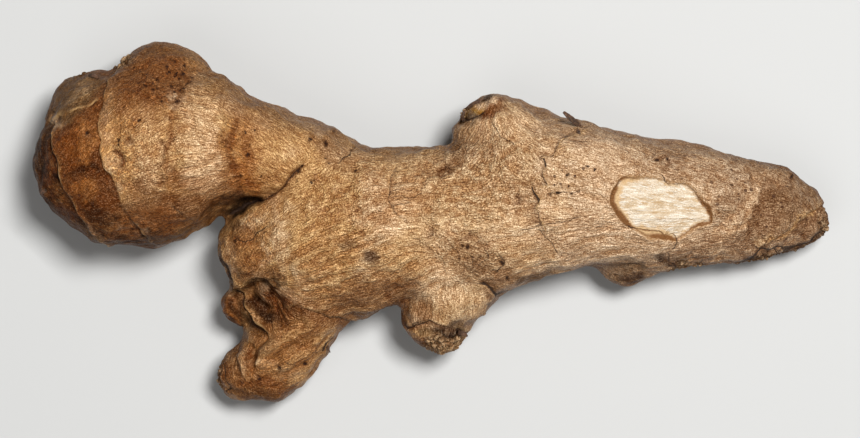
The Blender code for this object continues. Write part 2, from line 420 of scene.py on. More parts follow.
# fuller and leaner places round the outline
shaping = [
    # x, y, reach, mm out
    (-55.8, 27.0, 2.4, -1.0), (-47.0, 31.0, 2.5, -0.4), (-36.3, 25.0, 2.0, 0.7), (-31.0, 22.3, 2.0, -0.5),
    (8.4, 21.5, 2.0, -0.4), (15.0, 21.0, 1.0, 0.4), (19.0, 20.2, 1.6, -0.6), (30.0, 16.8, 3.0, -0.6),
    (4.6, 16.7, 1.2, 0.7), (3.0, 14.1, 1.2, -0.7), (36.2, 14.6, 1.6, 0.5), (64.5, 7.2, 3.4, -0.6),
    (-67.0, 6.0, 1.2, 0.7), (-36.0, 0.0, 1.4, -0.5), (-58.4, -2.0, 2.6, 0.9), (-48.4, -3.5, 3.2, 0.8),
    (-40.5, -1.8, 1.8, -0.5), (61.0, -4.6, 4.6, 0.7), (-36.0, -7.8, 1.4, -0.5), (51.0, -7.1, 2.6, -0.5),
    (24.0, -7.3, 3.2, 1.0), (11.0, -12.6, 3.2, 1.0), (-35.7, -15.0, 1.2, 0.8), (-11.5, -15.8, 1.8, 0.7),
    (-4.3, -17.2, 1.8, 0.7), (-33.4, -17.0, 1.8, 0.8), (-34.0, -21.0, 1.8, -0.6),
    (-0.4, -22.2, 2.0, -0.8), (-18.6, -22.7, 1.2, 0.8), (-35.9, -27.0, 1.8, 0.9),
    (-27.5, -30.1, 2.2, 0.8), (-17.2, 16.2, 1.2, 0.6),
]
for x, y, reach, out in shaping:
    height += out * bell(np.linalg.norm(plan - (x, y), axis=1), reach)

# scale rings: the skin on one side of the route stands above the other
# reach: mm looked at on either side; step: mm that the left side stands up, or below 0 the right side;
# fade: mm in which the step dies away; low and high: the tone of that side, its share and its width in
# mm; lip and shade: strength of the pale edge on top and of the shadow below it
rings = {
    "knobScale": {
        "route": [(-54.6, 28), (-55.7, 24.7), (-56.7, 21.5), (-56.8, 18.2), (-56.5, 14.3), (-56.0, 10.7),
                  (-54.6, 8.0), (-53.7, 5.4), (-52.1, 1.6), (-50.6, -0.4), (-47.5, -4.0)],
        "reach": 24, "step": 0.45, "fade": 6, "low": ("chestnut", 0.92, 40), "high": ("tan", 0.75, 1.0),
        "lip": 0.45, "shade": 0.5},
    "knobTip": {
        "route": [(-66.2, 20.5), (-65.7, 17.4), (-65.1, 14.4), (-64.6, 11.0), (-63.6, 7.3), (-62.2, 4.4),
                  (-60.5, 1.5), (-58.3, -1.1), (-55.5, -3.6)],
        "reach": 14, "step": 0.6, "fade": 5, "low": ("umber", 0.92, 30), "high": ("gold", 0.6, 0.35),
        "lip": 0.9, "shade": 0.8},
    "oliveScale": {
        "route": [(-56.9, 21.8), (-59.4, 20.3), (-62.0, 19.3), (-65.6, 18.2), (-67.5, 18)],
        "reach": 6, "step": -0.4, "fade": 3, "high": ("gold", 0.7, 0.3), "lip": 0.6, "shade": 0.5},
    "knobMiddle": {
        "route": [(-43.4, 21.4), (-44.2, 18.9), (-44.6, 15.7), (-45.2, 10.8), (-45.2, 8.0), (-44.3, 4.6),
                  (-43.1, 2.3)],
        "reach": 5, "step": -0.22, "fade": 2.5, "low": ("rust", 0.55, 0.7), "lip": 0.0, "shade": 0.4},
    "leftScale": {
        "route": [(-25.0, 4.5), (-25.6, 2.5), (-26.3, -0.5), (-26.2, -4.2), (-24.6, -7.5), (-23.6, -9.5)],
        "reach": 5, "step": 0.12, "fade": 4, "high": ("cream", 0.6, 1.2), "lip": 0.0, "shade": 0.15},
    "bodyShort": {
        "route": [(-5.8, 10.4), (-6.6, 9.2), (-7.2, 7.1), (-7.4, 4.7), (-6.9, 3.2), (-6.0, 1.7),
                  (-3.6, -0.1)],
        "reach": 5, "step": -0.2, "fade": 2.5, "low": ("brown", 0.2, 0.8), "lip": 0.15, "shade": 0.3},
    "bodyShortEnd": {
        "route": [(-3.6, -0.1), (-2.4, -2.2), (0.4, -4.4), (2.4, -6.6)],
        "reach": 5, "step": 0.14, "fade": 3, "low": ("brown", 0.2, 0.8), "lip": 0.2, "shade": 0.25},
    "bodyCracked": {
        "route": [(28, 17.6), (26.2, 16.2), (24.1, 15.4), (22.5, 14.8), (22.0, 13.4), (20.7, 12.1),
                  (19.1, 11.5), (19.6, 9.8), (19.0, 9.0), (19.9, 6.8), (17.7, 6.2), (18.5, 3.8),
                  (17.8, 2.8), (18.9, 0.0), (19.4, -1.6)],
        "reach": 5, "step": 0.26, "fade": 3.5, "low": ("brown", 0.3, 0.7), "lip": 0.45, "shade": 0.55},
    "tipRidge": {
        "route": [(59.5, 9.5), (57.7, 6.5), (56.3, 4.4), (54.5, 1.7), (52.8, -0.5), (51.0, -3.4),
                  (49.8, -6)],
        "reach": 12, "step": -0.5, "fade": 5, "low": ("brown", 0.6, 8), "high": ("pale", 0.6, 1.7),
        "lip": 0.0, "shade": 0.0},
    "tipEnd": {
        "route": [(70, 4.6), (68.9, 3.3), (66.5, 2.1), (64.5, 0.4), (62.4, -0.9), (59.7, -2.4),
                  (57, -4.5)],
        "reach": 8, "step": -0.6, "fade": 4, "low": ("brown", 0.6, 6), "high": ("tan", 0.9, 1.0),
        "lip": 0.3, "shade": 0.3},
    "hollowBrow": {
        "route": [(-34.4, -11.8), (-32.8, -11.1), (-30.3, -10.8), (-28.4, -10.9), (-26.6, -11.6)],
        "reach": 6, "step": 0.5, "fade": 1.8, "low": ("rust", 0.75, 2.5), "lip": 0.1, "shade": 0.5},
    "fingerFold": {
        "route": [(-27.0, -14.0), (-25.4, -14.4), (-23.4, -14.2), (-20.5, -15.1), (-18.0, -16.0),
                  (-13.6, -16.5)],
        "reach": 6, "step": 0.5, "fade": 2.2, "low": ("rust", 0.6, 2.6), "lip": 0.2, "shade": 0.4},
    # on the flap edge the umber low side is painted shade in the gap beside it, and the pale lip and gold
    # high side are a painted highlight on its edge
    "flapEdge": {
        "route": [(-36.2, -6.0), (-34.9, -9.2), (-34.2, -11.7), (-33.3, -12.5), (-32.7, -14.1),
                  (-31.5, -15.3), (-30.6, -17.0), (-29.2, -18.9), (-28.1, -20.3)],
        "reach": 4, "step": 0.8, "fade": 0.7, "low": ("umber", 0.85, 0.7), "high": ("gold", 0.6, 0.3),
        "lip": 0.8, "shade": 0.9},
    "budFlap": {
        "route": [(5.6, -9.8), (7.9, -10.5), (9.2, -10.5), (10.3, -11.0), (10.8, -11.8), (10.2, -12.7),
                  (9.5, -14.0), (9.2, -16.0)],
        "reach": 4, "step": -0.45, "fade": 1.6, "low": ("brown", 0.45, 1.2), "lip": 0.3, "shade": 0.8},
    "budRim": {
        "route": [(-4.9, -15.4), (-4.2, -16.7), (-3.0, -17.5), (-1.2, -17.2), (-0.3, -16.4), (1.5, -17.1),
                  (3.0, -18.0), (5.0, -18.7), (6.8, -18.6)],
        "reach": 5, "step": 0.5, "fade": 1.6, "low": ("rust", 0.75, 0.9), "lip": 0.2, "shade": 0.6},
}
farAway = 9.0  # mm, for points that are not near a ring, a crack or the peeled patch
ringAcross = np.full(len(spots), farAway)
ringLip, ringShade = np.zeros(len(spots)), np.zeros(len(spots))
for ring in rings.values():
    across, place = followRoute(plan + fret, ring["route"], ring["reach"])
    ends = fadeEnds(place, 0.05, 0.05)
    highSide = across if ring["step"] > 0 else -across
    strength = abs(ring["step"]) * (0.75 + 0.35 * evenNoise(5, 71))
    rise = smoothStep(-0.2, 0.25, highSide) * np.exp(-np.maximum(highSide, 0) / ring["fade"])
    dip = smoothStep(0.25, -0.2, highSide) * np.exp(np.minimum(highSide, 0) / ring["fade"])
    # a little over half of the step stands up, and the rest dips
    height += 0.55 * strength * rise * ends - 0.45 * strength * dip * ends
    inReach = np.abs(across) < 2 * ring["reach"] - 0.01
    if "low" in ring:
        tone, share, width = ring["low"]
        lowSide = smoothStep(0.15, -0.1, highSide) * inReach
        paint(tone, share * lowSide * bell(np.minimum(highSide, 0), width))
    if "high" in ring:
        tone, share, width = ring["high"]
        patchy = smoothStep(-1.6, 0.6, evenNoise(2.2, 73))
        paint(tone, share * patchy * bell(highSide - 0.8 * width, width) * (highSide > 0) * ends)
    near = smoothStep(1.6, 0.8, np.abs(across)) * ends * smoothStep(-1.3, 0.9, evenNoise(2.6, 72))
    closer = np.abs(across) < np.abs(ringAcross)
    ringAcross = np.where(closer, highSide, ringAcross)
    ringLip = np.where(closer, near * ring["lip"], ringLip)
    ringShade = np.where(closer, near * ring["shade"], ringShade)
print("ginger: scale rings laid")

# broad soft washes
washes = [
    # tone, x, y, along, across, turn, strength
    # the first rust wash darkens the knob's lower half: partly rust-brown skin, partly painted shade
    ("rust", -42.0, 4.4, 12.0, 3.6, 7, 0.7), ("orange", -37.5, 8.0, 5.0, 2.4, 10, 0.5),
    ("rust", -53.8, 22.8, 3.4, 4.6, 0, 0.6), ("orange", -50.0, 18.6, 6.0, 3.6, 20, 0.5),
    ("rust", -31.4, 20.4, 6.0, 1.8, -36, 0.6), ("orange", -31.6, 14.8, 3.6, 3.6, 0, 0.6),
    ("rust", -62.0, 14.2, 3.0, 3.4, 0, 0.5), ("orange", -29.4, 8.4, 4.0, 3.0, -30, 0.45),
    ("rust", -2.4, -14.4, 2.0, 3.8, 10, 0.65), ("rust", 11.4, -8.8, 2.6, 1.6, 25, 0.65),
    ("brown", 46.4, -4.3, 4.4, 1.4, 6, 0.8), ("rust", -27.0, 3.2, 2.6, 1.4, 42, 0.6),
    ("rust", 8.6, 15.6, 2.4, 3.4, 20, 0.5), ("brown", -17.6, 13.2, 3.4, 2.0, -30, 0.6),
    ("rust", -29.6, -2.0, 2.6, 2.4, 0, 0.45), ("rust", -40.0, 0.4, 4.0, 1.8, 10, 0.5),
    ("pale", -6.8, 4.0, 5.0, 4.0, 0, 0.65), ("rust", -29.6, -16.0, 2.6, 1.8, -25, 0.7),
    ("rust", -53.0, 0.6, 4.0, 2.2, 0, 0.55), ("pale", 15.4, 3.4, 3.4, 2.4, 0, 0.45),
    ("pale", 61.0, 8.6, 4.6, 1.4, -28, 0.4), ("pale", 22.4, 17.6, 3.4, 1.4, -24, 0.4),
    ("pale", 45.0, 12.6, 4.0, 1.4, -14, 0.4), ("pale", 13.8, 15.2, 3.0, 2.4, 0, 0.4),
    ("rust", -52.4, 25.2, 2.6, 2.6, 0, 0.55), ("orange", -63.4, 5.6, 1.6, 1.8, 0, 0.6),
    ("rust", -38.0, 22.6, 2.8, 1.4, -28, 0.5), ("pale", -36.8, 12.6, 1.6, 3.4, 0, 0.5),
    ("pale", -9.8, 0.8, 3.2, 1.8, 0, 0.45), ("brown", 9.4, -7.2, 3.4, 1.8, -20, 0.4),
    ("rust", -31.6, 8.4, 2.0, 1.6, 0, 0.5), ("rust", -41.8, 8.0, 2.6, 1.4, 0, 0.4),
    ("rust", -48.8, 5.8, 2.4, 1.2, 0, 0.45),
]
dab(washes, ragged=1.2, soft=0.8, where=top)

# smaller stains
stains = [
    # tone, x, y, along, across, turn, strength
    # knob
    ("orange", -59.0, 15.0, 4.0, 2.6, 45, 0.55), ("umber", -60.3, 9.8, 1.3, 0.9, 20, 0.7),
    ("umber", -57.5, 10.5, 1.3, 0.6, -40, 0.8), ("orange", -58.9, 11.4, 0.6, 1.0, 0, 0.6),
    ("orange", -59.4, 7.0, 1.6, 0.8, 30, 0.45), ("umber", -57.0, 1.2, 5.0, 1.8, -50, 0.65),
    ("rust", -60.5, 4.5, 2.5, 2.0, 0, 0.5), ("orange", -59.6, 12.6, 2.2, 1.6, 0, 0.5),
    ("brown", -47.2, 1.4, 7.8, 3.2, 4, 0.9), ("rust", -47.8, -0.2, 6.4, 2.8, 6, 0.8),
    ("rust", -45.0, 4.8, 2.4, 1.4, 0, 0.6), ("plum", -48.4, -3.4, 7.4, 2.0, 4, 0.75),
    ("umber", -53.8, 1.0, 1.3, 1.0, 0, 0.5), ("pale", -39.4, 14.0, 3.6, 8.0, 6, 0.5),
    ("pale", -47.5, 12.5, 3.0, 6.0, 10, 0.2), ("rust", -66.0, 10.6, 1.2, 3.4, 0, 0.75),
    ("nearBlack", -65.8, 13.2, 0.4, 0.9, 0, 0.5), ("orange", -66.6, 11.6, 0.5, 1.4, 0, 0.5),
    ("rust", -67.8, 8.2, 0.8, 1.4, 20, 0.6), ("nearBlack", -66.2, 9.0, 0.5, 1.0, 0, 0.6),
    ("rust", -64.4, 3.2, 1.2, 1.8, -40, 0.6), ("orange", -61.2, -0.6, 1.6, 0.5, -50, 0.45),
    ("rust", -67.0, 6.6, 1.8, 2.6, 20, 0.6), ("rust", -62.2, 0.4, 3.6, 1.6, -50, 0.6),
    ("rust", -61.4, 13.8, 1.8, 2.4, 0, 0.7), ("grey", -57.8, -1.8, 3.4, 1.1, -25, 0.6),
    ("pale", -65.8, 17.9, 1.1, 0.8, 0, 0.9), ("orange", -58.4, 5.8, 2.0, 1.6, 0, 0.5),
    ("pale", -42.4, 21.6, 1.6, 0.9, 30, 0.6), ("pale", -43.7, 20.2, 1.0, 1.3, 0, 0.5),
    ("orange", -50.4, 27.0, 3.0, 2.0, 20, 0.5), ("orange", -45.0, 29.0, 3.0, 1.2, 0, 0.5),
    ("pale", -40.6, 24.8, 1.8, 1.6, 40, 0.4), ("rust", -48.4, 26.0, 8.4, 6.5, 0, 0.9),
    ("brown", -43.5, 22.5, 3.6, 2.4, 10, 0.25), ("umber", -42.9, 22.6, 1.2, 0.4, 20, 0.3),
    ("pale", -44.3, 22.4, 1.1, 0.8, 20, 0.5), ("umber", -67.8, 9.6, 1.5, 4.2, 0, 0.5),
    ("umber", -66.2, 4.6, 1.6, 2.6, 30, 0.4), ("pale", -65.4, 17.7, 1.5, 0.9, 10, 0.6),
    ("olive", -62.2, 22.2, 5.4, 3.4, 38, 0.9), ("cream", -60.6, 23.4, 3.2, 0.8, 36, 0.35),
    ("umber", -63.7, 22.3, 1.1, 0.6, 30, 0.45), ("rust", -57.5, 20.0, 1.6, 4.0, 10, 0.5),
    # neck and gorge
    ("orange", -32.0, 14.0, 2.0, 5.0, 0, 0.8), ("rust", -31.2, 12.6, 1.0, 3.0, -4, 0.5),
    ("orange", -35.2, 12.0, 0.9, 2.6, 10, 0.6), ("chestnut", -34.3, 13.6, 0.6, 1.2, 0, 0.7),
    ("rust", -32.6, 6.4, 2.2, 1.5, 0, 0.75), ("chestnut", -33.5, 9.4, 0.8, 1.1, -20, 0.85),
    ("orange", -30.5, 7.2, 3.6, 1.8, -20, 0.75), ("orange", -25.5, 8.6, 4.0, 0.9, 40, 0.5),
    ("brown", -22.0, 17.0, 6.0, 1.8, -30, 0.5), ("brown", -38.5, 3.4, 4.0, 1.4, 15, 0.6),
    # the first mark below, near-black in the gorge, is painted shade
    ("nearBlack", -32.6, 3.7, 2.2, 0.9, 22, 0.6), ("umber", -37.0, 1.6, 2.2, 1.1, 20, 0.6),
    ("pale", -22.4, 17.8, 5.0, 1.2, -32, 0.45), ("rust", -37.6, 3.2, 2.4, 0.7, 25, 0.6),
    ("umber", -36.6, 3.2, 1.2, 0.9, 20, 0.5), ("rust", -30.8, 6.6, 1.2, 0.5, -30, 0.6),
    # left end, finger and nub, and pale edges on the right
    ("cream", -31.0, 0.4, 2.6, 1.4, 42, 0.75), ("rust", -31.0, -0.8, 0.7, 1.0, -40, 0.8),
    ("umber", -33.4, -0.5, 1.1, 0.8, 40, 0.7), ("orange", -30.0, 2.0, 1.2, 0.6, 40, 0.6),
    ("brown", -32.5, -6.0, 3.6, 6.0, 5, 0.45), ("orange", -31.8, -5.6, 2.6, 4.4, 5, 0.35),
    ("umber", -33.7, -7.6, 0.7, 1.6, 10, 0.5), ("rust", -30.4, -6.8, 1.6, 0.8, 0, 0.6),
    ("pale", -28.7, -5.6, 0.9, 2.2, 0, 0.4), ("umber", -31.4, -9.0, 1.8, 0.5, 5, 0.5),
    ("rust", -33.2, -3.8, 1.2, 0.9, 0, 0.6), ("orange", -31.0, -5.0, 1.8, 2.4, 0, 0.5),
    ("cream", -26.2, -2.6, 1.3, 5.4, 8, 0.75), ("rust", -29.5, -9.0, 4.0, 1.6, -8, 0.5),
    # the umber marks in the hollow, under its brow, round the lump in it and in the gap beside the flap,
    # are painted shade
    ("rust", -27.2, -15.0, 4.2, 3.0, -25, 0.9), ("umber", -28.6, -15.9, 2.4, 0.8, -35, 0.6),
    ("umber", -29.6, -11.2, 3.4, 0.7, 8, 0.9), ("umber", -31.2, -14.6, 1.5, 0.9, -20, 0.75),
    ("umber", -28.2, -12.9, 0.6, 1.0, -35, 0.6), ("umber", -29.4, -15.8, 2.0, 0.9, -25, 0.9),
    ("pale", -25.0, -12.8, 2.8, 0.8, -28, 0.7), ("grey", -29.8, -12.8, 1.2, 0.8, -25, 0.85),
    ("umber", -31.6, -17.6, 1.8, 0.7, -40, 0.85), ("grey", -30.6, -19.2, 0.9, 0.3, 15, 0.8),
    ("tan", -32.0, -18.3, 0.9, 0.7, 0, 0.5), ("tan", -28.2, -25.6, 2.6, 0.9, 8, 0.6),
    ("pale", 62.0, -3.9, 2.6, 0.6, 15, 0.4), ("pale", 16.3, 20.0, 2.4, 0.8, -12, 0.5),
    ("pale", 23.5, 17.6, 3.0, 0.9, -12, 0.5), ("brown", -20.0, -16.0, 6.0, 2.6, 10, 0.6),
    ("brown", -27.0, -22.5, 10.0, 6.0, 35, 0.5), ("orange", -26.4, -21.8, 8.5, 4.2, 35, 0.4),
    ("tan", -32.9, -23.6, 0.7, 2.0, 0, 0.7), ("tan", -29.2, -24.3, 2.4, 0.5, -5, 0.6),
    ("rust", -30.0, -29.2, 7.0, 2.2, 5, 0.75), ("umber", -29.8, -29.9, 5.0, 1.2, 5, 0.4),
    ("rust", -36.9, -27.0, 1.6, 3.0, 0, 0.7), ("rust", -31.6, -22.7, 0.6, 1.6, 0, 0.7),
    ("gold", -29.8, -21.3, 1.8, 0.4, 30, 0.6), ("gold", -28.4, -25.6, 2.6, 0.9, 5, 0.45),
    # the umber marks beside and below the nub are painted shade
    ("rust", -35.6, -14.2, 3.0, 3.0, 0, 0.9), ("umber", -33.9, -14.6, 0.9, 2.2, 25, 0.8),
    ("umber", -34.6, -17.0, 2.0, 0.8, -20, 0.8),
    # body and its buds, and the bands across it
    ("bruise", -10.5, -5.2, 1.5, 1.1, -30, 0.85), ("bruise", -14.0, -3.0, 1.2, 0.9, 0, 0.5),
    ("bruise", -9.0, -2.6, 1.0, 0.8, 0, 0.3), ("brown", -9.0, -13.0, 9.0, 2.4, 18, 0.6),
    ("brown", -15.5, -11.2, 9.0, 2.6, 18, 0.3), ("brown", -19.8, -8.8, 2.2, 1.0, 20, 0.5),
    ("nearBlack", 4.0, -19.2, 2.7, 0.55, -6, 0.9), ("rust", -6.0, -12.0, 1.6, 2.6, -30, 0.5),
    ("rust", -5.2, -15.0, 1.2, 3.0, 0, 0.6), ("pale", 2.4, -10.6, 4.6, 3.0, 0, 0.55),
    ("brown", 6.6, -5.4, 4.0, 3.4, -45, 0.45), ("brown", 1.4, -20.4, 3.4, 1.9, 8, 0.8),
    ("cream", 4.4, -20.8, 1.4, 0.8, 0, 0.6), ("rust", -2.6, -19.6, 2.4, 1.2, -30, 0.7),
    ("gold", -1.6, -18.4, 2.3, 0.8, -14, 0.8), ("umber", 9.9, -13.4, 0.4, 1.1, -20, 0.8),
    ("bruise", 3.0, -18.2, 3.4, 0.9, 4, 0.75), ("umber", -0.8, -18.4, 0.9, 0.5, -30, 0.6),
    ("brown", 14.0, -10.0, 5.0, 1.2, 14, 0.6), ("brown", 4.6, 13.5, 1.6, 4.0, 10, 0.55),
    ("yellow", 7.6, 19.9, 1.8, 0.8, 22, 0.95), ("rust", 10.8, 20.0, 2.4, 0.9, 14, 0.85),
    ("chestnut", 9.0, 20.1, 2.0, 0.8, 14, 0.8), ("rust", 1.8, 9.0, 1.4, 0.45, -8, 0.8),
    ("umber", 5.2, 19.0, 0.6, 1.0, 0, 0.8), ("umber", 6.2, 18.6, 1.6, 0.4, 8, 0.7),
    ("brown", 25.5, 15.5, 3.0, 2.0, -25, 0.4), ("brown", -8.6, 12.4, 5.0, 1.2, 0, 0.35),
    ("pale", 7.7, 19.5, 1.2, 0.3, 30, 0.9), ("pale", 10.2, 21.4, 1.5, 0.35, 12, 0.9),
    ("pale", 53.8, 1.5, 1.2, 6.2, -35, 0.45), ("brown", 57.2, 2.6, 2.0, 4.6, -35, 0.3),
    ("pale", 21.4, 4.5, 1.8, 7.5, 6, 0.35), ("brown", 17.2, 3.4, 1.3, 5.0, 5, 0.3),
    ("grey", 43.0, -6.0, 7.0, 1.1, 7, 0.35),
    # towards the tip
    ("brown", 44.0, 10.0, 6.0, 2.4, -14, 0.35), ("olive", 34.5, -9.4, 4.8, 2.6, 0, 0.6),
    ("grey", 32.4, -8.4, 2.0, 1.2, -20, 0.5), ("bruise", 42.0, -6.0, 2.2, 1.0, -30, 0.5),
    ("brown", 46.0, -6.8, 4.0, 1.0, 6, 0.5), ("umber", 61.0, -6.2, 9.0, 0.5, 12, 0.6),
    ("pale", 61.6, -3.6, 3.0, 1.0, 14, 0.5), ("pale", 50.4, -6.0, 2.4, 0.9, 8, 0.5),
    ("olive", 63.0, 4.0, 5.0, 3.0, -30, 0.35), ("bruise", 34.8, -9.1, 2.6, 1.2, 4, 0.8),
    ("umber", 40.5, -5.7, 1.4, 0.7, -20, 0.8), ("umber", 41.8, -7.4, 1.6, 0.5, -30, 0.7),
    ("brown", 60.0, 3.0, 9.0, 6.0, -25, 0.25), ("plum", 42.4, -7.2, 1.2, 0.9, -30, 0.6),
    ("plum", 34.6, -9.6, 1.0, 0.8, 0, 0.7), ("plum", 36.6, -9.0, 0.7, 0.5, 0, 0.6),
    ("pale", 55.2, 2.4, 1.0, 3.4, -32, 0.6), ("gold", 67.3, 2.5, 2.0, 0.5, 33, 0.75),
    ("gold", 63.8, 0.3, 2.8, 0.5, 32, 0.65), ("gold", 60.2, -2.0, 2.4, 0.5, 26, 0.5),
]
dab(stains, ragged=0.8, soft=0.4, where=top)

# redder skin on the knob's brown scale, its tip and the band on the neck
redPlaces = [
    # x, y, along, across, turn, share
    (-60.5, 9.5, 5.0, 8.5, 8, 0.9), (-31.0, 8.0, 2.6, 3.4, 0, 0.9), (-66.6, 9.5, 1.8, 6.0, 10, 0.8),
]
for x, y, along, across, turn, share in redPlaces:
    deepen(redTint, share * blob(x, y, along, across, turn, soft=0.7) * top)

# speckled places, where the skin is flaking
flakingPlaces = [
    # x, y, along, across, turn, share of pale flakes
    (-66.4, 8.0, 3.0, 8.0, 15, 0.0), (-52.0, -1.5, 6.5, 2.6, -8, 0.12), (43.5, -6.9, 8.0, 1.2, 7, 0.6),
]
for x, y, along, across, turn, share in flakingPlaces:
    flaking = blob(x, y, along, across, turn, ragged=0.8) * top
    paint("orange", 0.5 * smoothStep(0.6, 1.3, evenNoise(0.9, 81)) * flaking)
    paint("nearBlack", 0.7 * smoothStep(0.6, 1.3, evenNoise(0.8, 82)) * flaking)
    paint("pale", share * smoothStep(0.7, 1.4, evenNoise(1.1, 83)) * flaking)

# soft bands along a route
seam = [(-30.2, 3.6), (-28.2, 5.0), (-25.5, 6.8), (-23.4, 8.9), (-21.4, 10.9)]  # where knob and body meet
bands = [
    # tone, route, width, strength
    # the plum and near-black bands in the gorge between knob and body are painted shade in its depth
    ("plum", [(-35.6, 3.6), (-33.8, 4.6), (-31.8, 5.0)], 1.0, 0.7),
    ("nearBlack", [(-35.4, 1.4), (-34.2, 2.2), (-32.8, 3.1), (-31.4, 3.9), (-30.0, 4.3),
              (-28.8, 4.6)], 0.7, 1.0),
    ("gold", [(-29.6, 5.6), (-27.2, 7.0), (-24.8, 8.9), (-22.6, 11.4)], 0.7, 0.6),
    ("rust", [(-33.2, 18.8), (-33.8, 16.2), (-34.4, 13.6), (-34.3, 11.2), (-33.5, 9.2),
              (-32.4, 7.4)], 0.7, 0.8),
    ("chestnut", seam, 0.32, 0.8),
    ("orange", [(-43.9, 19.6), (-44.5, 15.7), (-45.1, 10.8), (-45.1, 8.0), (-44.3, 4.6)], 0.4, 0.6),
    ("plum", [(-36.5, -5.2), (-35.9, -7.2), (-35.0, -9.6)], 0.4, 0.85),
    ("nearBlack", [(49.0, -8.2), (55.0, -7.0), (61.0, -5.4), (66.5, -3.2), (69.6, -0.6)], 0.4, 0.7),
    ("umber", [(14.5, -9.9), (18.0, -9.2), (21.5, -7.9)], 0.45, 0.6),
    ("pale", [(8.2, -9.4), (9.4, -9.0), (10.4, -8.5)], 0.25, 0.7),
]
for tone, route, width, strength in bands:
    across, place = followRoute(plan + 1.3 * fret, route)
    ends = fadeEnds(place, 0.08, 0.1)
    paint(tone, strength * smoothStep(1.5 * width, 0.6 * width, np.abs(across)) * ends * top)

# the far flank is painted olive, and low on the sides and underneath the skin is painted browner and
# darker: partly the skin's own browner colour, partly painted shade
paint("olive", 0.5 * smoothStep(0.9, 0.45, normals[:, 2]) * smoothStep(0.1, 0.5, normals[:, 1]) * top)
paint("brown", smoothStep(0.6, -0.2, normals[:, 2] + 0.1 * sway[:, 0]) * 0.75)
paint("umber", smoothStep(-0.1, -0.8, normals[:, 2] + 0.15 * evenNoise(3, 63)) * 0.35)
deepen(sideShadeTint, 0.8 * smoothStep(0.75, 0.2, normals[:, 2]))

# the upper bud's scar: yellow flesh with a bright rim, between dark flaps
budScar = [
    # tone, x, y, along, across, turn, strength
    ("umber", 9.4, 21.8, 1.9, 0.6, 18, 0.9), ("yellow", 8.1, 20.2, 1.1, 0.6, 32, 1.0),
    ("rust", 10.8, 20.8, 2.8, 0.8, 32, 0.9), ("pale", 8.6, 21.1, 1.5, 0.36, 32, 1.0),
    ("pale", 11.2, 21.9, 0.9, 0.35, 10, 1.0), ("nearBlack", 6.9, 19.0, 1.9, 0.5, 20, 0.6),
]
dab(budScar, ragged=0.4, soft=0.4, where=normals[:, 2] > 0)

# creases: soft valleys, pressed straight down
creases = [
    # route, width, depth
    ([(-30.8, 3.2), (-28.2, 5.0), (-25.5, 6.8), (-23.4, 8.9), (-20.7, 11.6), (-17.4, 15.2)], 0.55, 0.6),
    ([(-32.9, 3.9), (-29.8, 4.6), (-27.0, 6.3), (-24.6, 8.0), (-22.5, 10.1), (-19.6, 13.1),
      (-17.4, 15.8)], 2.4, 0.35),
    ([(-36.4, 0.6), (-34.9, 1.7), (-33.3, 2.7), (-31.4, 3.8), (-29.0, 4.7)], 0.65, 2.6),
    ([(-27.6, -19.2), (-29.4, -20.8), (-31.0, -21.8), (-31.6, -23.4)], 0.5, 0.7),
    ([(-35.6, -12.0), (-34.0, -14.4), (-32.6, -16.4), (-31.0, -18.2), (-29.8, -19.6)], 0.7, 1.8),
    ([(-32.5, -25.8), (-28.4, -26.6), (-24.4, -25.4), (-21.5, -22.5)], 1.0, 0.3),
]
for route, width, depth in creases:
    across, place = followRoute(plan + 0.6 * fret, route)
    drop += depth * bell(across, width) * fadeEnds(place, 0.12, 0.15) * top

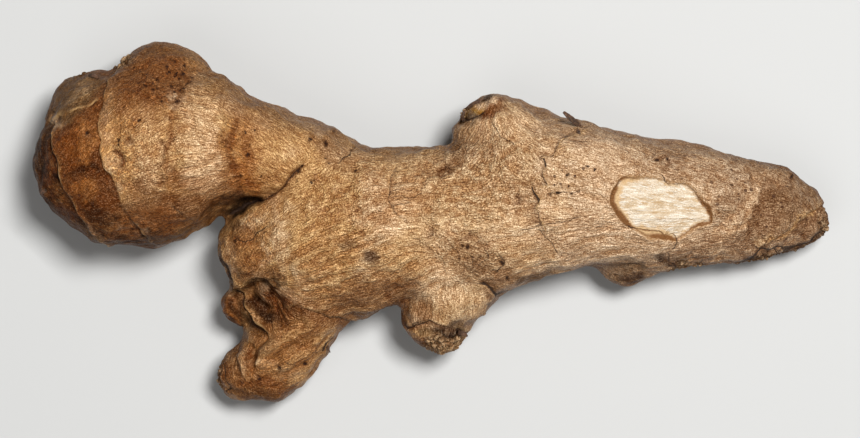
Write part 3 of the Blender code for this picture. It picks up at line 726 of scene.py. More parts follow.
# cracks: narrow, dark, with ragged edges
cracks = [
    # route, width in mm, how dark
    ([(-35.4, 1.6), (-33.0, 3.0), (-30.8, 3.6), (-28.8, 4.6)], 0.22, 0.9),
    (seam, 0.11, 0.7),
    ([(-13.1, 14.0), (-14.3, 12.5), (-15.8, 10.9)], 0.09, 0.7),
    ([(-44.1, 3.0), (-42.6, 1.8), (-40.5, 0.1)], 0.1, 0.6),
    ([(-5.8, 10.2), (-6.6, 9.0), (-7.2, 7.1), (-7.4, 4.7), (-6.9, 3.2), (-6.0, 1.7),
      (-5.2, 0.9)], 0.08, 0.5),
    ([(-6.6, 9.2), (-4.8, 9.5), (-3.6, 10.3)], 0.07, 0.5),
    ([(-7.1, 7.7), (-3.6, 7.6)], 0.08, 0.45),
    ([(-7.3, 6.0), (-3.0, 6.2)], 0.08, 0.45),
    ([(-7.2, 4.7), (-3.4, 4.8), (-1.0, 5.3)], 0.08, 0.5),
    ([(-6.9, 3.5), (-2.8, 4.0)], 0.09, 0.5),
    ([(10.3, 17.8), (12.1, 15.0), (14.8, 12.9)], 0.09, 0.6),
    ([(19.2, 11.6), (19.5, 10.6), (19.7, 9.6)], 0.16, 0.95),
    ([(19.0, 9.2), (19.5, 7.8), (20.0, 6.7)], 0.09, 0.7),
    ([(17.4, 6.7), (17.9, 5.2), (18.5, 3.8)], 0.16, 0.95),
    ([(17.9, 2.8), (18.4, 1.4), (19.2, -0.4), (20.4, -1.0)], 0.08, 0.55),
    ([(27.0, 17.0), (25.0, 16.4), (23.6, 15.6), (23.0, 14.9), (21.6, 13.4), (20.7, 12.1),
      (19.1, 11.6)], 0.08, 0.5),
    ([(23.2, 15.2), (25.0, 14.2), (27.6, 14.4)], 0.07, 0.4),
    ([(15.6, -0.9), (17.8, -0.5), (19.4, 0.0)], 0.1, 0.6),
    ([(19.4, 0.0), (22.1, 0.4), (25.4, 0.9)], 0.13, 0.5),
    ([(17.8, -0.8), (19.7, -2.5), (22.0, -4.6)], 0.09, 0.6),
    ([(20.4, 5.2), (22.6, 5.4), (25.4, 5.9)], 0.1, 0.5),
    ([(33.4, -0.1), (35.4, -0.9), (38.4, -1.5), (41.4, -1.9)], 0.13, 0.8),
    ([(40.1, 9.2), (40.6, 8.1), (41.4, 7.1)], 0.1, 0.85),
    ([(41.6, -1.5), (42.4, -2.8), (42.3, -4.2), (41.8, -4.8)], 0.11, 0.8),
    ([(41.0, -5.0), (42.1, -6.6), (42.6, -7.9)], 0.2, 0.6),
    ([(63.1, 2.1), (62.7, 0.9), (62.4, -0.4)], 0.09, 0.5),
    ([(-36.3, -5.6), (-34.7, -9.1), (-34.3, -11.7), (-33.4, -12.4), (-32.9, -14.0),
      (-31.8, -15.0), (-30.4, -15.3)], 0.14, 0.95),
    ([(-31.4, -16.0), (-31.0, -17.2), (-29.8, -18.8)], 0.12, 0.8),
    ([(-34.1, -2.2), (-32.6, -2.6), (-31.0, -2.4), (-29.8, -1.5), (-27.8, -0.3)], 0.1, 0.75),
    ([(-19.1, -22.2), (-18.6, -21.0), (-18.0, -20.3), (-16.6, -19.8)], 0.16, 0.95),
    ([(-19.4, -15.6), (-16.8, -15.9), (-14.0, -16.3)], 0.09, 0.6),
    ([(-36.6, -23.6), (-35.7, -25.4), (-35.3, -28.0), (-36.0, -29.9)], 0.1, 0.85),
    ([(7.9, -10.4), (9.2, -10.4), (10.3, -10.9), (10.9, -11.7), (10.2, -12.7), (9.5, -14.1),
      (9.2, -15.4)], 0.16, 0.95),
    ([(10.9, -11.6), (12.0, -11.5), (13.4, -11.2)], 0.14, 0.85),
    ([(-4.5, -16.2), (-3.8, -17.4), (-2.7, -17.6), (-1.0, -17.6)], 0.11, 0.85),
    ([(-3.4, -17.6), (-2.3, -17.1), (-1.3, -17.1), (-0.4, -16.4)], 0.09, 0.75),
    ([(4.6, 18.8), (6.6, 18.4), (9.4, 19.4)], 0.16, 0.8),
    ([(0.2, -3.4), (2.0, -5.6), (2.5, -8.3)], 0.08, 0.3),
    ([(8.8, -3.8), (9.6, -5.2), (9.2, -6.4), (8.2, -7.2)], 0.09, 0.5),
    ([(11.5, -5.4), (12.2, -6.3), (11.8, -7.4), (10.6, -8.4)], 0.12, 0.65),
    ([(3.4, -3.2), (4.6, -4.8), (4.8, -6.8)], 0.08, 0.45),
    ([(6.4, -5.0), (7.4, -6.2), (7.2, -7.6)], 0.08, 0.45),
    ([(52.8, -6.6), (55.8, -6.0), (57.5, -4.8), (60.1, -4.1), (62.7, -4.3), (65.3, -3.4),
      (68.6, -1.6)], 0.18, 0.9),
    ([(55.8, -6.0), (57.4, -6.4), (58.6, -6.1)], 0.14, 0.8),
    ([(60.1, -4.1), (61.0, -5.2), (62.4, -5.5)], 0.12, 0.8),
    ([(59.0, -4.4), (58.2, -3.4), (58.6, -2.6)], 0.09, 0.5),
]
crackAcross, crackDark = np.full(len(spots), farAway), np.zeros(len(spots))
crackWidth = np.full(len(spots), 0.2)  # not 0, because the material divides by it
for route, width, dark in cracks:
    across, place = followRoute(plan + fret, route, reach=3)
    ends = fadeEnds(place, 0.12, 0.15, past=0.01)
    reachMask = smoothStep(1.4, 0.7, np.abs(across))
    drop += (0.12 + width) * dark * bell(across, max(width, 0.3)) * ends * top
    closer = np.abs(across) < np.abs(crackAcross)
    crackAcross = np.where(closer, across, crackAcross)
    crackWidth = np.where(closer, width * (0.35 + 0.65 * ends), crackWidth)
    crackDark = np.where(closer, dark * reachMask * (0.4 + 0.6 * ends) * top, crackDark)
    paint("brown", 0.35 * dark * bell(across, 2 * width) * ends * top)

# pits and dots
pits = [
    # x, y, radius
    (-20.8, 14.6, 0.24), (-18.3, 13.9, 0.3), (-17.0, 15.7, 0.2), (-18.0, 11.5, 0.16), (-17.7, 10.6, 0.16),
    (-22.0, 10.2, 0.24), (-22.7, 9.3, 0.3), (-20.1, 7.9, 0.18), (-20.5, 7.4, 0.24), (-23.2, 7.7, 0.18),
    (-13.1, 9.6, 0.18), (-31.4, 12.1, 0.28), (-31.0, 13.8, 0.18), (-29.9, 16.2, 0.18),
    (-31.9, 15.7, 0.15), (-32.3, 8.1, 0.2), (-42.6, 27.8, 0.26), (-43.9, 25.9, 0.28), (-42.6, 25.8, 0.3),
    (-43.1, 25.0, 0.24), (-44.5, 24.0, 0.28), (-41.7, 24.2, 0.24), (-43.1, 23.1, 0.26),
    (-42.5, 23.4, 0.24), (-44.1, 22.9, 0.26), (-47.1, 24.8, 0.24), (-49.0, 23.7, 0.26),
    (-47.8, 23.1, 0.2), (-47.0, 23.3, 0.2), (-45.1, 26.5, 0.22), (-41.4, 25.5, 0.2), (-43.4, 21.4, 0.26),
    (-45.6, 27.3, 0.2), (-44.3, 28.6, 0.22), (-33.8, -2.8, 0.3), (-29.4, 8.4, 0.2), (-50.0, 17.6, 0.22),
    (-53.4, 14.4, 0.24), (-53.4, 13.6, 0.18), (-52.6, 19.9, 0.22), (-59.0, 15.6, 0.24),
    (-46.0, 21.0, 0.25), (6.3, -3.8, 0.3), (5.5, -3.5, 0.22), (11.9, -6.6, 0.34), (13.2, -9.3, 0.3),
    (21.9, 5.3, 0.24), (20.4, 5.0, 0.22), (25.4, 5.9, 0.2), (22.4, 9.4, 0.15), (23.3, 9.9, 0.16),
    (23.4, 8.4, 0.2), (22.6, 6.4, 0.18), (24.2, 5.4, 0.16), (21.2, 6.9, 0.16), (23.8, 6.6, 0.13),
    (28.0, 9.3, 0.16), (26.6, 9.8, 0.16), (-22.0, -24.2, 0.26), (-26.4, -25.2, 0.3), (-30.0, -27.0, 0.24),
    (39.6, 11.6, 0.3), (41.0, 11.4, 0.2), (52.0, 6.6, 0.24), (63.4, 8.4, 0.24),
]
pitCore = np.full(len(spots), -1.0)
for x, y, radius in pits:
    gap = np.linalg.norm(plan + 0.8 * fret - (x, y), axis=1)
    pitCore = np.maximum(pitCore, np.clip(1 - gap / radius, -1, 1))
    drop += 0.8 * radius * bell(gap, max(radius, 0.35)) * top
    paint("rust", 0.5 * bell(gap, radius * 1.8) * top)
pitCore = np.where(top > 0.5, pitCore, -1)

# round dents with one steep side, whose wall is painted chestnut as painted shade, with a pale painted
# highlight in the middle
dents = [
    # x, y, radius, degrees to the steep side, depth
    (-53.7, 11.0, 1.3, 25, 0.45), (-51.7, 13.9, 0.65, 60, 0.3), (-46.2, 12.9, 0.9, 20, 0.3),
    (-45.2, 17.6, 0.7, 40, 0.2), (-45.0, 14.6, 0.8, 0, 0.2), (-46.6, 11.0, 0.9, -30, 0.25),
    (-44.6, 9.2, 0.6, 0, 0.2), (-46.8, 8.0, 1.0, -40, 0.2), (2.2, 9.0, 1.1, 80, 0.35),
    (6.0, -1.8, 0.8, -60, 0.3), (-0.6, -1.2, 0.7, 0, 0.25), (14.2, 4.4, 0.8, -30, 0.3),
    (-58.9, 15.2, 0.6, 60, 0.2), (40.6, 11.4, 0.7, 20, 0.25),
]
for x, y, radius, steep, depth in dents:
    offset = plan + fret - (x, y)
    gap = np.linalg.norm(offset, axis=1)
    steepWay = (math.cos(math.radians(steep)), math.sin(math.radians(steep)))
    facing = (offset @ steepWay) / np.maximum(gap, 0.01)
    wall = bell(gap - radius, 0.22 + 0.25 * radius) * smoothStep(-0.6, 0.4, facing)
    drop += depth * (0.8 * bell(gap, 0.9 * radius) + wall) * top
    paint("chestnut", min(1.0, 2.4 * depth) * wall**1.5 * top)
    paint("pale", depth * bell(gap, 0.6 * radius) * top)
print("ginger: stains, creases, cracks, pits and dents laid")

# wrinkles and pebbles
wrinkle = combedNoise(1.15, 3.4, seed=31)
ridge = combedNoise(2.0, 7.0, seed=32)
pebble = evenNoise(1.25, seed=33)
fine = traits["wrinkled"] * (0.085 * wrinkle - 0.11 * bell(wrinkle, 0.45))
fine += traits["ridged"] * (0.13 * ridge - 0.18 * bell(ridge, 0.4))
fine += traits["pebbled"] * 0.09 * pebble
height += fine

# corky ends, where buds were broken off or dried
corkPlaces = [
    # x, y, along, across, turn
    (2.4, -20.9, 4.2, 1.9, 8), (-37.4, -27.0, 1.2, 2.6, 0), (61.5, -5.7, 9.0, 1.0, 13),
    (69.2, 0.0, 1.1, 2.4, 0), (5.4, 19.4, 1.2, 1.4, 0), (45.0, -8.2, 5.0, 1.0, 8),
    (-54.0, 29.0, 2.0, 1.6, 0), (-54.5, -5.2, 3.0, 1.4, -10), (-62.0, 26.8, 3.0, 1.2, 35),
]
for x, y, along, across, turn in corkPlaces:
    traits["corked"] = np.maximum(traits["corked"], blob(x, y, along, across, turn, ragged=0.6))
corky = (traits["corked"] > 0.01).nonzero()[0]
crumbSize = 0.85  # mm
crumbEdge, crumbNumber = crumbs(spots[corky] / crumbSize + sway[corky, :1] * 0.3, 5)
crumbRise = 0.42 * smoothStep(0.0, 0.45, crumbEdge) * (0.4 + 1.2 * crumbNumber) - 0.25
height[corky] += traits["corked"][corky] * crumbRise
crumbShade = np.zeros(len(spots))
crumbShade[corky] = smoothStep(0.25, 0.0, crumbEdge) * traits["corked"][corky]
paint("nearBlack", 0.7 * crumbShade)
crumbLight = np.zeros(len(spots))
crumbLight[corky] = smoothStep(0.4, 0.9, crumbNumber) * traits["corked"][corky] * 0.7
paint("cream", crumbLight * (1 - crumbShade))
paint("nearBlack", 0.7 * blob(4.2, -19.2, 3.6, 0.4, -6, ragged=0.8) * top)  # slit in the lower bud

# the peeled patch, cut through the skin to the flesh
peel = {
    # depth: mm; lip: mm that the skin's edge curls up; turn: of the flesh's threads
    "outline": [(30.9, 4.7), (32.1, 7.3), (33.4, 8.2), (36.2, 8.2), (39.8, 8.0), (41.9, 7.3), (44.2, 7.1),
                (46.2, 5.1), (48.0, 3.0), (48.6, 0.5), (46.3, -0.3), (44.7, -1.3), (42.5, -2.8),
                (40.8, -2.3), (37.3, -2.0), (34.7, -0.6), (32.6, 1.2), (31.6, 2.8)],
    "depth": 0.6,
    "lip": 0.2,
    "turn": math.radians(8),
}
peelEdge = -followRoute(plan + 0.35 * fret, peel["outline"], reach=12, closed=True)[0]
peelEdge = np.where(top > 0.5, peelEdge, -farAway)  # mm inwards from the cut
inPeel = smoothStep(-0.12, 0.25, peelEdge)
height = height * (1 - 0.75 * inPeel) - peel["depth"] * inPeel
height += peel["lip"] * bell(peelEdge + 0.35, 0.4)
drop *= 1 - inPeel
# the wall of the cut shows on the left and along the lower edge, and its shadow is widest on the left
x, y = plan.T
peelWall = smoothStep(36.5, 33.5, x) + smoothStep(1.6, -0.6, y) * smoothStep(44, 41, x)
peelWall = np.clip(peelWall, 0, 1) * smoothStep(-1.5, 0.5, evenNoise(2.4, 74))
rimShade = 0.45 + 0.3 * evenNoise(4, 75) + 1.3 * smoothStep(35.0, 32.8, x)
rimShade += 0.1 * smoothStep(44, 47, x) - 0.7 * smoothStep(5.8, 7.2, y)
rimShade -= 0.4 * smoothStep(39.5, 42.5, x) * smoothStep(1.0, -1.0, y)
rimShade = np.clip(rimShade, 0.1, 1.6)
fibre = combedNoise(1.3, 16, seed=41, taps=21)
height += 0.05 * fibre * inPeel
print("ginger: wrinkles, cork and peeled patch worked")

spots = spots + normals * height[:, None]
spots[:, 2] -= drop * smoothStep(3, 8, spots[:, 2])  # not near the ground
spots[:, 2] = np.maximum(spots[:, 2], 0)
root.data.vertices.foreach_set("co", (spots * mm).astype(np.float32).reshape(-1))
root.data.update()

readings = {
    "course": course, "skinTone": skinTone, "fine": fine, "fibre": fibre, "ringAcross": ringAcross,
    "ringLip": ringLip, "ringShade": ringShade, "crackAcross": crackAcross, "crackWidth": crackWidth,
    "crackDark": crackDark, "pitCore": pitCore, "peelEdge": peelEdge, "peelWall": peelWall,
    "rimShade": rimShade, "wrinkled": traits["wrinkled"], "pebbled": traits["pebbled"],
    "specked": traits["specked"], "calm": traits["calm"], "corked": traits["corked"],
}
for name, values in readings.items():
    keep(root.data, name, values)

thin = root.modifiers.new("thinFaces", "DECIMATE")
thin.ratio = skin["mostTriangles"] / (2 * len(root.data.polygons))  # each cell is two triangles
final = evaluated(root)
root.modifiers.clear()
root.data = final
final.shade_smooth()
print("ginger: skin has", len(final.polygons), "faces")

# the materials


class Wiring:
    # short words for joining a material's nodes

    def __init__(self, name):
        self.material = bpy.data.materials.new(name)
        self.material.use_nodes = True
        self.tree = self.material.node_tree
        self.shader = self.tree.nodes["Principled BSDF"]

    def node(self, kind, **values):
        made = self.tree.nodes.new("ShaderNode" + kind)
        for name, value in values.items():
            setattr(made, name, value)
        return made

    def feed(self, socket, value):
        if hasattr(value, "links"):
            self.tree.links.new(value, socket)
        elif isinstance(value, tuple) and socket.type == "RGBA":
            socket.default_value = (*value, 1)
        else:
            socket.default_value = value

    def place(self):
        # in mm
        scaled = self.node("VectorMath", operation="SCALE")
        self.feed(scaled.inputs[0], self.node("TexCoord").outputs["Object"])
        scaled.inputs["Scale"].default_value = 1 / mm
        return scaled.outputs[0]

    def reading(self, name, output="Fac"):
        return self.node("Attribute", attribute_name=name).outputs[output]

    def sums(self, operation, a, b=0.0, c=0.0):
        made = self.node("Math", operation=operation)
        for socket, value in zip(made.inputs, (a, b, c)):
            self.feed(socket, value)
        return made.outputs[0]

    def times(self, *values):
        total = values[0]
        for value in values[1:]:
            total = self.sums("MULTIPLY", total, value)
        return total

    def between(self, value, low, high, bottom=0.0, top=1.0):
        made = self.node("MapRange", interpolation_type="SMOOTHSTEP")
        for name, number in (("Value", value), ("From Min", low), ("From Max", high), ("To Min", bottom),
                             ("To Max", top)):
            self.feed(made.inputs[name], number)
        return made.outputs["Result"]

    def blended(self, share, a, b, how="MIX"):
        made = self.node("Mix", data_type="RGBA", blend_type=how, clamp_result=False)
        self.feed(made.inputs["Factor"], share)
        self.feed(made.inputs[6], a)
        self.feed(made.inputs[7], b)
        return made.outputs[2]

    def tinted(self, share, colour, tint):
        return self.blended(share, colour, tint, "MULTIPLY")

    def cells(self, vector, perMm):
        made = self.node("TexVoronoi", feature="F1")
        self.feed(made.inputs["Vector"], vector)
        made.inputs["Scale"].default_value = perMm
        return made.outputs

    def cloud(self, vector, perMm, layers=1.0, rough=0.55):
        made = self.node("TexNoise")
        self.feed(made.inputs["Vector"], vector)
        made.inputs["Scale"].default_value = perMm
        made.inputs["Detail"].default_value = layers
        made.inputs["Roughness"].default_value = rough
        return made.outputs["Fac"]

    def combed(self, place, course, perMm, length, taps, spread):
        # noise smeared along the grain, brought to 0 to 1
        total = None
        for tap in range(taps):
            shift = length * (tap / (taps - 1) - 0.5)
            moved = self.node("VectorMath", operation="MULTIPLY_ADD")
            self.feed(moved.inputs[0], course)
            moved.inputs[1].default_value = (shift, shift, shift)
            self.feed(moved.inputs[2], place)
            value = self.cloud(moved.outputs[0], perMm, layers=0.0)
            total = value if total is None else self.sums("ADD", total, value)
        mean = self.sums("MULTIPLY", total, 1 / taps)
        return self.between(mean, 0.5 - spread, 0.5 + spread)

    def press(self, height, depth):
        # a bump, depth mm deep where the height falls by 1
        made = self.node("Bump")
        made.inputs["Strength"].default_value = 1.0
        made.inputs["Distance"].default_value = depth * mm
        self.feed(made.inputs["Height"], height)
        self.feed(self.shader.inputs["Normal"], made.outputs["Normal"])


skinLook = {
    # grain: cells to the mm, mm drawn out along it, steps, and half of the range that fills 0 to 1
    "streaks": {"perMm": 2.1, "length": 1.7, "taps": 6, "spread": 0.18},
    "hairs": {"perMm": 4.2, "length": 0.7, "taps": 4, "spread": 0.2},
    # tints that multiply the painted skin
    "mottled": (0.74, 0.64, 0.52),
    # this tint and the next four darken the low places of the relief: partly darker skin in the furrows,
    # partly painted shade
    "sunkShade": (0.68, 0.54, 0.41),
    "grooved": (0.52, 0.39, 0.27),
    "betweenHairs": (0.55, 0.43, 0.32),
    "betweenPebbles": (0.48, 0.36, 0.26),
    "gritty": (0.53, 0.42, 0.32),
    # this tint and the next lighten crests and glints: painted highlights
    "crestHighlight": (1.45, 1.5, 1.6),
    "glinting": (1.7, 1.75, 1.85),
    "stained": (0.45, 0.40, 0.36),
    "rubbed": (1.7, 1.6, 1.4),
    "dusty": (0.22, 0.14, 0.10),
    "underRing": (0.20, 0.12, 0.08),
    # colours that cover it
    # the colour of the painted glints
    "waxy": (0.80, 0.62, 0.42),
    "scurf": (0.34, 0.17, 0.07),
    "speck": (0.06, 0.022, 0.012),
    "ringLip": (0.50, 0.30, 0.125),
    "pit": (0.022, 0.009, 0.006),
    "crack": (0.035, 0.02, 0.014),
    "crackInFlesh": (0.22, 0.10, 0.035),
    # the peeled patch, from outside its edge to its middle
    "bruisedSkin": (0.36, 0.19, 0.07),
    "cutEdgeAndShadow": (0.19, 0.08, 0.025),
    "cutWall": (0.58, 0.385, 0.20),
    "flesh": (0.54, 0.40, 0.25),
    "paleFlesh": (0.60, 0.48, 0.34),
    "fleshCloud": (0.68, 0.575, 0.44),
    "darkThread": (0.44, 0.27, 0.125),
    "paleThread": (0.88, 0.80, 0.67),
    "fleshHair": (0.92, 0.86, 0.76),
    # shine and relief
    "ior": 1.22,
    "shineTint": (1.0, 0.86, 0.70),
    "reliefDepth": 0.16,  # mm
}


def gingerSkin():
    w = Wiring("ginger_skin")
    place = w.place()
    course = w.reading("course", "Vector")
    wrinkled, pebbled = w.reading("wrinkled"), w.reading("pebbled")
    specked, calm = w.reading("specked"), w.reading("calm")
    lively = w.sums("SUBTRACT", 1.0, calm)

    streak = w.combed(place, course, **skinLook["streaks"])
    hair = w.combed(place, course, **skinLook["hairs"])
    groove = w.between(w.sums("ABSOLUTE", w.sums("SUBTRACT", streak, 0.5)), 0.0, 0.16, 1.0, 0.0)
    pebble = w.between(w.cells(place, perMm=2.9)["Distance"], 0.75, 0.1)
    grit = w.between(w.cloud(place, perMm=4.6, rough=0.6), 0.32, 0.68)
    mottle = w.between(w.cloud(place, perMm=0.7, layers=4.0, rough=0.62), 0.33, 0.67)
    fine = w.between(w.reading("fine"), -0.24, 0.14)

    # painted skin, with its grooves, pebbles and glints; the low places of the relief are darkened,
    # partly as painted shade, and the crests and glints are lightened as painted highlights
    colour = w.reading("skinTone", "Color")
    colour = w.tinted(w.times(mottle, 0.55), colour, skinLook["mottled"])
    # painted shade where the mesh relief sinks
    colour = w.tinted(w.sums("SUBTRACT", 1.0, fine), colour, skinLook["sunkShade"])
    colour = w.tinted(w.times(groove, wrinkled, 0.75), colour, skinLook["grooved"])
    hairGap = w.times(w.between(hair, 0.5, 0.1), w.between(lively, 0.0, 1.0, 0.45, 0.85))
    colour = w.tinted(hairGap, colour, skinLook["betweenHairs"])
    pebbleGap = w.times(w.between(pebble, 0.5, 0.05), pebbled, 0.75)
    colour = w.tinted(pebbleGap, colour, skinLook["betweenPebbles"])
    darkGrit = w.times(w.between(grit, 0.45, 0.1), w.between(lively, 0.0, 1.0, 0.6, 0.85))
    colour = w.tinted(darkGrit, colour, skinLook["gritty"])
    # painted highlights on the crests and glints
    crest = w.times(w.between(streak, 0.6, 0.95), wrinkled, 0.7)
    colour = w.tinted(crest, colour, skinLook["crestHighlight"])
    glint = w.between(w.sums("ADD", grit, hair), 1.25, 1.75)
    glint = w.times(glint, w.between(lively, 0.0, 1.0, 0.15, 1.0))
    colour = w.tinted(w.times(glint, 0.85), colour, skinLook["glinting"])
    colour = w.blended(w.times(glint, 0.10), colour, skinLook["waxy"])

    # calm skin is smooth but blotched, and specked skin is sprinkled with dark dots
    fleck = w.cloud(place, perMm=1.9, layers=3.0, rough=0.7)
    colour = w.tinted(w.times(w.between(fleck, 0.47, 0.33), calm, 1.8), colour, skinLook["stained"])
    colour = w.tinted(w.times(w.between(fleck, 0.54, 0.66), calm, 1.8), colour, skinLook["rubbed"])
    scurf = w.between(w.cloud(place, perMm=3.6), 0.60, 0.72)
    colour = w.blended(w.times(scurf, calm, 0.55), colour, skinLook["scurf"])
    dust = w.between(w.cloud(place, perMm=3.2, layers=2.0, rough=0.5), 0.60, 0.70)
    colour = w.tinted(w.times(dust, specked, 0.7), colour, skinLook["dusty"])
    dots = w.cells(place, perMm=0.8)
    chance = w.node("SeparateColor")
    w.feed(chance.inputs[0], dots["Color"])
    dotSize = w.sums("MULTIPLY_ADD", chance.outputs[1], 0.18, 0.08)
    speck = w.between(w.sums("SUBTRACT", dots["Distance"], dotSize), 0.04, -0.03)
    speck = w.times(speck, w.between(chance.outputs[0], 0.5, 0.6))
    colour = w.blended(w.times(speck, specked, 0.9), colour, skinLook["speck"])

    # rings, cracks and pits
    fray = w.sums("MULTIPLY_ADD", w.cloud(place, perMm=1.3, layers=2.0), 0.5, -0.25)
    ring = w.sums("ADD", w.reading("ringAcross"), fray)
    shade = w.times(w.between(ring, -0.55, -0.12), w.between(ring, 0.08, -0.08))
    colour = w.tinted(w.times(shade, w.reading("ringShade")), colour, skinLook["underRing"])
    lip = w.times(w.between(ring, -0.06, 0.08), w.between(ring, 0.55, 0.08))
    colour = w.blended(w.times(lip, w.reading("ringLip")), colour, skinLook["ringLip"])
    crack = w.sums("ABSOLUTE", w.sums("MULTIPLY_ADD", fray, 0.9, w.reading("crackAcross")))
    crack = w.sums("DIVIDE", crack, w.reading("crackWidth"))
    ink = w.times(w.between(crack, 1.2, 0.4), w.reading("crackDark"))
    ragged = w.sums("MULTIPLY_ADD", grit, 1.1, -0.55)
    pit = w.sums("ADD", ragged, w.sums("MULTIPLY_ADD", fray, 1.2, w.reading("pitCore")))
    pit = w.between(pit, -0.3, 0.2)
    colour = w.blended(w.times(pit, 0.95), colour, skinLook["pit"])

    # flesh of the peeled patch, with threads drawn out along it
    edge = w.sums("MULTIPLY_ADD", fray, 0.5, w.reading("peelEdge"))
    grain = w.between(w.reading("fibre"), -1.0, 1.6)
    drawn = w.node("Mapping")
    w.feed(drawn.inputs["Vector"], place)
    drawn.inputs["Rotation"].default_value = (0, 0, peel["turn"])
    drawn.inputs["Scale"].default_value = (0.22, 1.5, 1.0)
    thread = w.between(w.cloud(drawn.outputs[0], perMm=1.0, layers=5.0, rough=0.68), 0.32, 0.68)
    cloudy = w.between(w.cloud(drawn.outputs[0], perMm=0.35, layers=2.0), 0.4, 0.62)
    flesh = w.blended(grain, skinLook["flesh"], skinLook["paleFlesh"])
    flesh = w.blended(w.times(cloudy, 0.6), flesh, skinLook["fleshCloud"])
    flesh = w.blended(w.between(thread, 0.45, 0.0, 0.0, 0.75), flesh, skinLook["darkThread"])
    flesh = w.blended(w.between(thread, 0.62, 1.0, 0.0, 0.6), flesh, skinLook["paleThread"])
    flesh = w.blended(w.between(hair, 0.5, 0.9, 0.0, 0.5), flesh, skinLook["fleshHair"])

    # across the cut: bruised skin, its dark edge widened into a painted shadow, the wall, then the flesh
    wall = w.reading("peelWall")
    colour = w.blended(w.between(edge, -0.35, -0.05, 0.0, 0.5), colour, skinLook["bruisedSkin"])
    shadow = w.times(w.reading("rimShade"), 0.5)
    outer = w.sums("ADD", edge, w.sums("MULTIPLY", shadow, 0.5))
    colour = w.blended(w.between(outer, -0.02, 0.14), colour, skinLook["cutEdgeAndShadow"])
    past = w.sums("SUBTRACT", edge, shadow)
    colour = w.blended(w.between(past, -0.1, 0.4), colour, skinLook["cutWall"])
    inner = w.sums("MULTIPLY_ADD", wall, -0.9, past)
    inner = w.sums("MULTIPLY_ADD", fray, 1.8, inner)
    colour = w.blended(w.between(inner, -0.2, 0.7), colour, flesh)
    cleft = w.blended(w.between(edge, 0.0, 0.3), skinLook["crack"], skinLook["crackInFlesh"])
    colour = w.blended(ink, colour, cleft)
    w.feed(w.shader.inputs["Base Color"], colour)

    # shine: waxy on pale skin, matt on cork, in cracks and on the flesh
    inside = w.between(edge, 0.1, 0.4)
    matt = w.sums("MAXIMUM", w.reading("corked"), w.times(ink, 0.8))
    rough = w.between(grit, 0.2, 0.9, 0.46, 0.27)
    rough = w.sums("MULTIPLY_ADD", matt, 0.4, rough)
    w.feed(w.shader.inputs["Roughness"], w.sums("MULTIPLY_ADD", inside, 0.12, rough))
    w.shader.inputs["IOR"].default_value = skinLook["ior"]
    shine = w.node("RGBToBW")
    w.feed(shine.inputs[0], w.reading("skinTone", "Color"))
    w.feed(w.shader.inputs["Specular IOR Level"], w.between(shine.outputs[0], 0.0, 0.4, 0.06, 0.92))
    w.shader.inputs["Specular Tint"].default_value = (*skinLook["shineTint"], 1)

    # relief finer than the mesh
    skinLevel = w.sums("MULTIPLY_ADD", w.times(streak, wrinkled), 0.9, w.times(groove, wrinkled, -0.5))
    skinLevel = w.sums("MULTIPLY_ADD", w.times(hair, lively), 0.5, skinLevel)
    skinLevel = w.sums("MULTIPLY_ADD", w.times(pebble, pebbled), 0.7, skinLevel)
    skinLevel = w.sums("MULTIPLY_ADD", grit, 0.4, skinLevel)
    skinLevel = w.sums("MULTIPLY_ADD", ink, -1.2, skinLevel)
    hole = w.sums("MAXIMUM", pit, w.times(speck, specked))
    skinLevel = w.sums("MULTIPLY_ADD", hole, -1.0, skinLevel)
    w.press(skinLevel, skinLook["reliefDepth"])
    return w.material


root.data.materials.clear()
root.data.materials.append(gingerSkin())
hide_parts(solid)
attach(root, "root")
print("ginger: skin finished")

# scraps of dried scale leaf that stand off the skin

scraps = {
    # wide: mm; course: x, y and mm above the skin at its foot
    "flake": {
        "wide": 1.1,
        "course": [(25.8, 17.0, -0.6), (24.9, 17.8, 0.2), (23.9, 18.6, 0.7), (22.9, 19.5, 0.6)]},
    "flakeTail": {
        "wide": 0.7,
        "course": [(25.2, 16.6, -0.5), (25.6, 15.8, 0.4), (25.4, 15.0, 0.2)]},
    "spike": {
        "wide": 0.6,
        "course": [(5.7, 18.0, -0.6), (5.5, 18.9, 0.3), (5.9, 19.9, 0.3)]},
    "scarRim": {
        "wide": 0.6,
        "course": [(6.4, 20.4, -0.5), (8.0, 21.4, 0.5), (10.2, 21.7, 0.4), (11.6, 21.3, -0.6)]},
    "knobThorn": {
        "wide": 0.7,
        "course": [(-66.6, 6.0, -0.5), (-67.0, 5.6, 0.1), (-67.5, 5.3, -0.2)]},
    "shoulderScrap": {
        "wide": 0.7,
        "course": [(-57.6, 25.4, -1.1), (-58.5, 25.9, -0.7), (-59.3, 25.8, -1.6)]},
    "budThorn": {
        "wide": 0.9,
        "course": [(4.8, -18.9, -0.5), (5.6, -19.0, 0.3), (6.3, -19.5, 0.0)]},
    "fingerThorn": {
        "wide": 0.5,
        "course": [(-18.2, -21.4, -0.5), (-17.9, -22.0, 0.1), (-17.7, -22.4, 0.0)]},
}


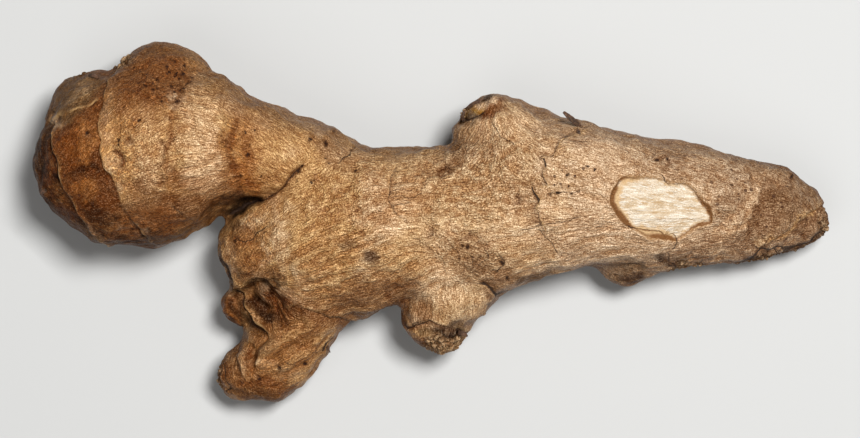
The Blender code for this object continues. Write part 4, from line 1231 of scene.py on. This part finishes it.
def scaleScraps(surface):
    mesh = bmesh.new()
    sides = 8
    halfThick = 0.14  # mm
    for scrap in scraps.values():
        rows = np.array(scrap["course"], float)
        gap = np.linalg.norm(surface[:, :2] - rows[0, :2], axis=1)
        path = smoothCurve(rows, 0.25)
        path[:, 2] += surface[gap < 0.6, 2].max()
        ahead = unit(np.gradient(path, axis=0))
        across = unit(np.cross(ahead, (0, 0, 1)))
        up = np.cross(across, ahead)
        place = np.linspace(0, 1, len(path))
        wide = scrap["wide"] * (0.25 + 0.75 * np.sin(np.pi * (0.25 + 0.72 * place)))
        wide = wide * (1 + 0.35 * noise(path * 1.7, 91))
        previous = None
        for spot, sideways, lift, half in zip(path, across, up, wide / 2):
            ring = []
            for side in range(sides):
                turn = 2 * math.pi * side / sides
                curl = 0.35 * half * math.cos(turn) ** 2
                outwards = sideways * (half * math.cos(turn))
                point = spot + outwards + lift * (halfThick * math.sin(turn) + curl)
                ring.append(mesh.verts.new(point * mm))
            if previous:
                for side in range(sides):
                    after = (side + 1) % sides
                    mesh.faces.new((previous[side], previous[after], ring[after], ring[side]))
            else:
                mesh.faces.new(reversed(ring))
            previous = ring
        mesh.faces.new(previous)
    bmesh.ops.recalc_face_normals(mesh, faces=mesh.faces)
    data = bpy.data.meshes.new("dried_scale_scraps")
    mesh.to_mesh(data)
    mesh.free()
    data.shade_smooth()
    return added("dried_scale_scraps", data)


driedLook = {
    "dark": (0.016, 0.007, 0.004),
    "brown": (0.09, 0.036, 0.016),
    "dusty": (0.20, 0.10, 0.045),
    "reliefDepth": 0.08,  # mm
}


def driedScale():
    w = Wiring("dried_scale")
    place = w.place()
    mottle = w.between(w.cloud(place, perMm=1.1, layers=3.0), 0.35, 0.65)
    grit = w.between(w.cloud(place, perMm=5.0, layers=2.0), 0.35, 0.65)
    colour = w.blended(mottle, driedLook["dark"], driedLook["brown"])
    colour = w.blended(w.times(grit, 0.4), colour, driedLook["dusty"])
    w.feed(w.shader.inputs["Base Color"], colour)
    w.feed(w.shader.inputs["Roughness"], w.between(grit, 0.0, 1.0, 0.75, 0.5))
    w.press(grit, driedLook["reliefDepth"])
    return w.material


dried = scaleScraps(spots)
dried.data.materials.append(driedScale())
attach(dried, "root")
print("ginger: dried scraps placed")

# floor, lights and camera

studio = {
    "floor": (0.52, 0.52, 0.51),
    "floorHalf": 3,  # m from its middle to its edges
    "key": {"place": (0.20, 0.18, 0.78), "side": 0.22, "power": 9.1},  # m, m and W
    "fill": {"place": (-0.25, -0.35, 0.75), "side": 0.6, "power": 1.6},
    "sky": 0.08,
}


def groundSheet():
    half = studio["floorHalf"]
    corners = [(-half, -half, 0), (half, -half, 0), (half, half, 0), (-half, half, 0)]
    data = bpy.data.meshes.new("pale_floor")
    data.from_pydata(corners, [], [(0, 1, 2, 3)])
    ground = added("pale_floor", data)
    material = bpy.data.materials.new("pale_floor")
    material.use_nodes = True
    shader = material.node_tree.nodes["Principled BSDF"]
    shader.inputs["Base Color"].default_value = (*studio["floor"], 1)
    shader.inputs["Roughness"].default_value = 0.85
    data.materials.append(material)


def softLight(name, setup):
    data = bpy.data.lights.new(name, "AREA")
    data.size = setup["side"]
    data.energy = setup["power"]
    light = added(name, data)
    light.location = setup["place"]
    light.rotation_mode = "QUATERNION"
    light.rotation_quaternion = (-Vector(setup["place"])).to_track_quat("-Z", "Y")


groundSheet()
softLight("overhead_box", studio["key"])
softLight("side_box", studio["fill"])
world = bpy.data.worlds.new("studio")
world.use_nodes = True
sky = world.node_tree.nodes["Background"].inputs
sky["Color"].default_value = (1, 1, 1, 1)
sky["Strength"].default_value = studio["sky"]
bpy.context.scene.world = world
bpy.context.scene.view_settings.view_transform = "Standard"

view = {
    "place": (-0.19, 0.96, 600.0),  # mm, straight above the root
    "lens": 140.65,
    "sensor": 36,
}
cameraData = bpy.data.cameras.new("camera")
cameraData.lens = view["lens"]
cameraData.sensor_width = view["sensor"]
camera = added("camera", cameraData)
camera.location = Vector(view["place"]) * mm
bpy.context.scene.camera = camera

print("ginger: scene ready")
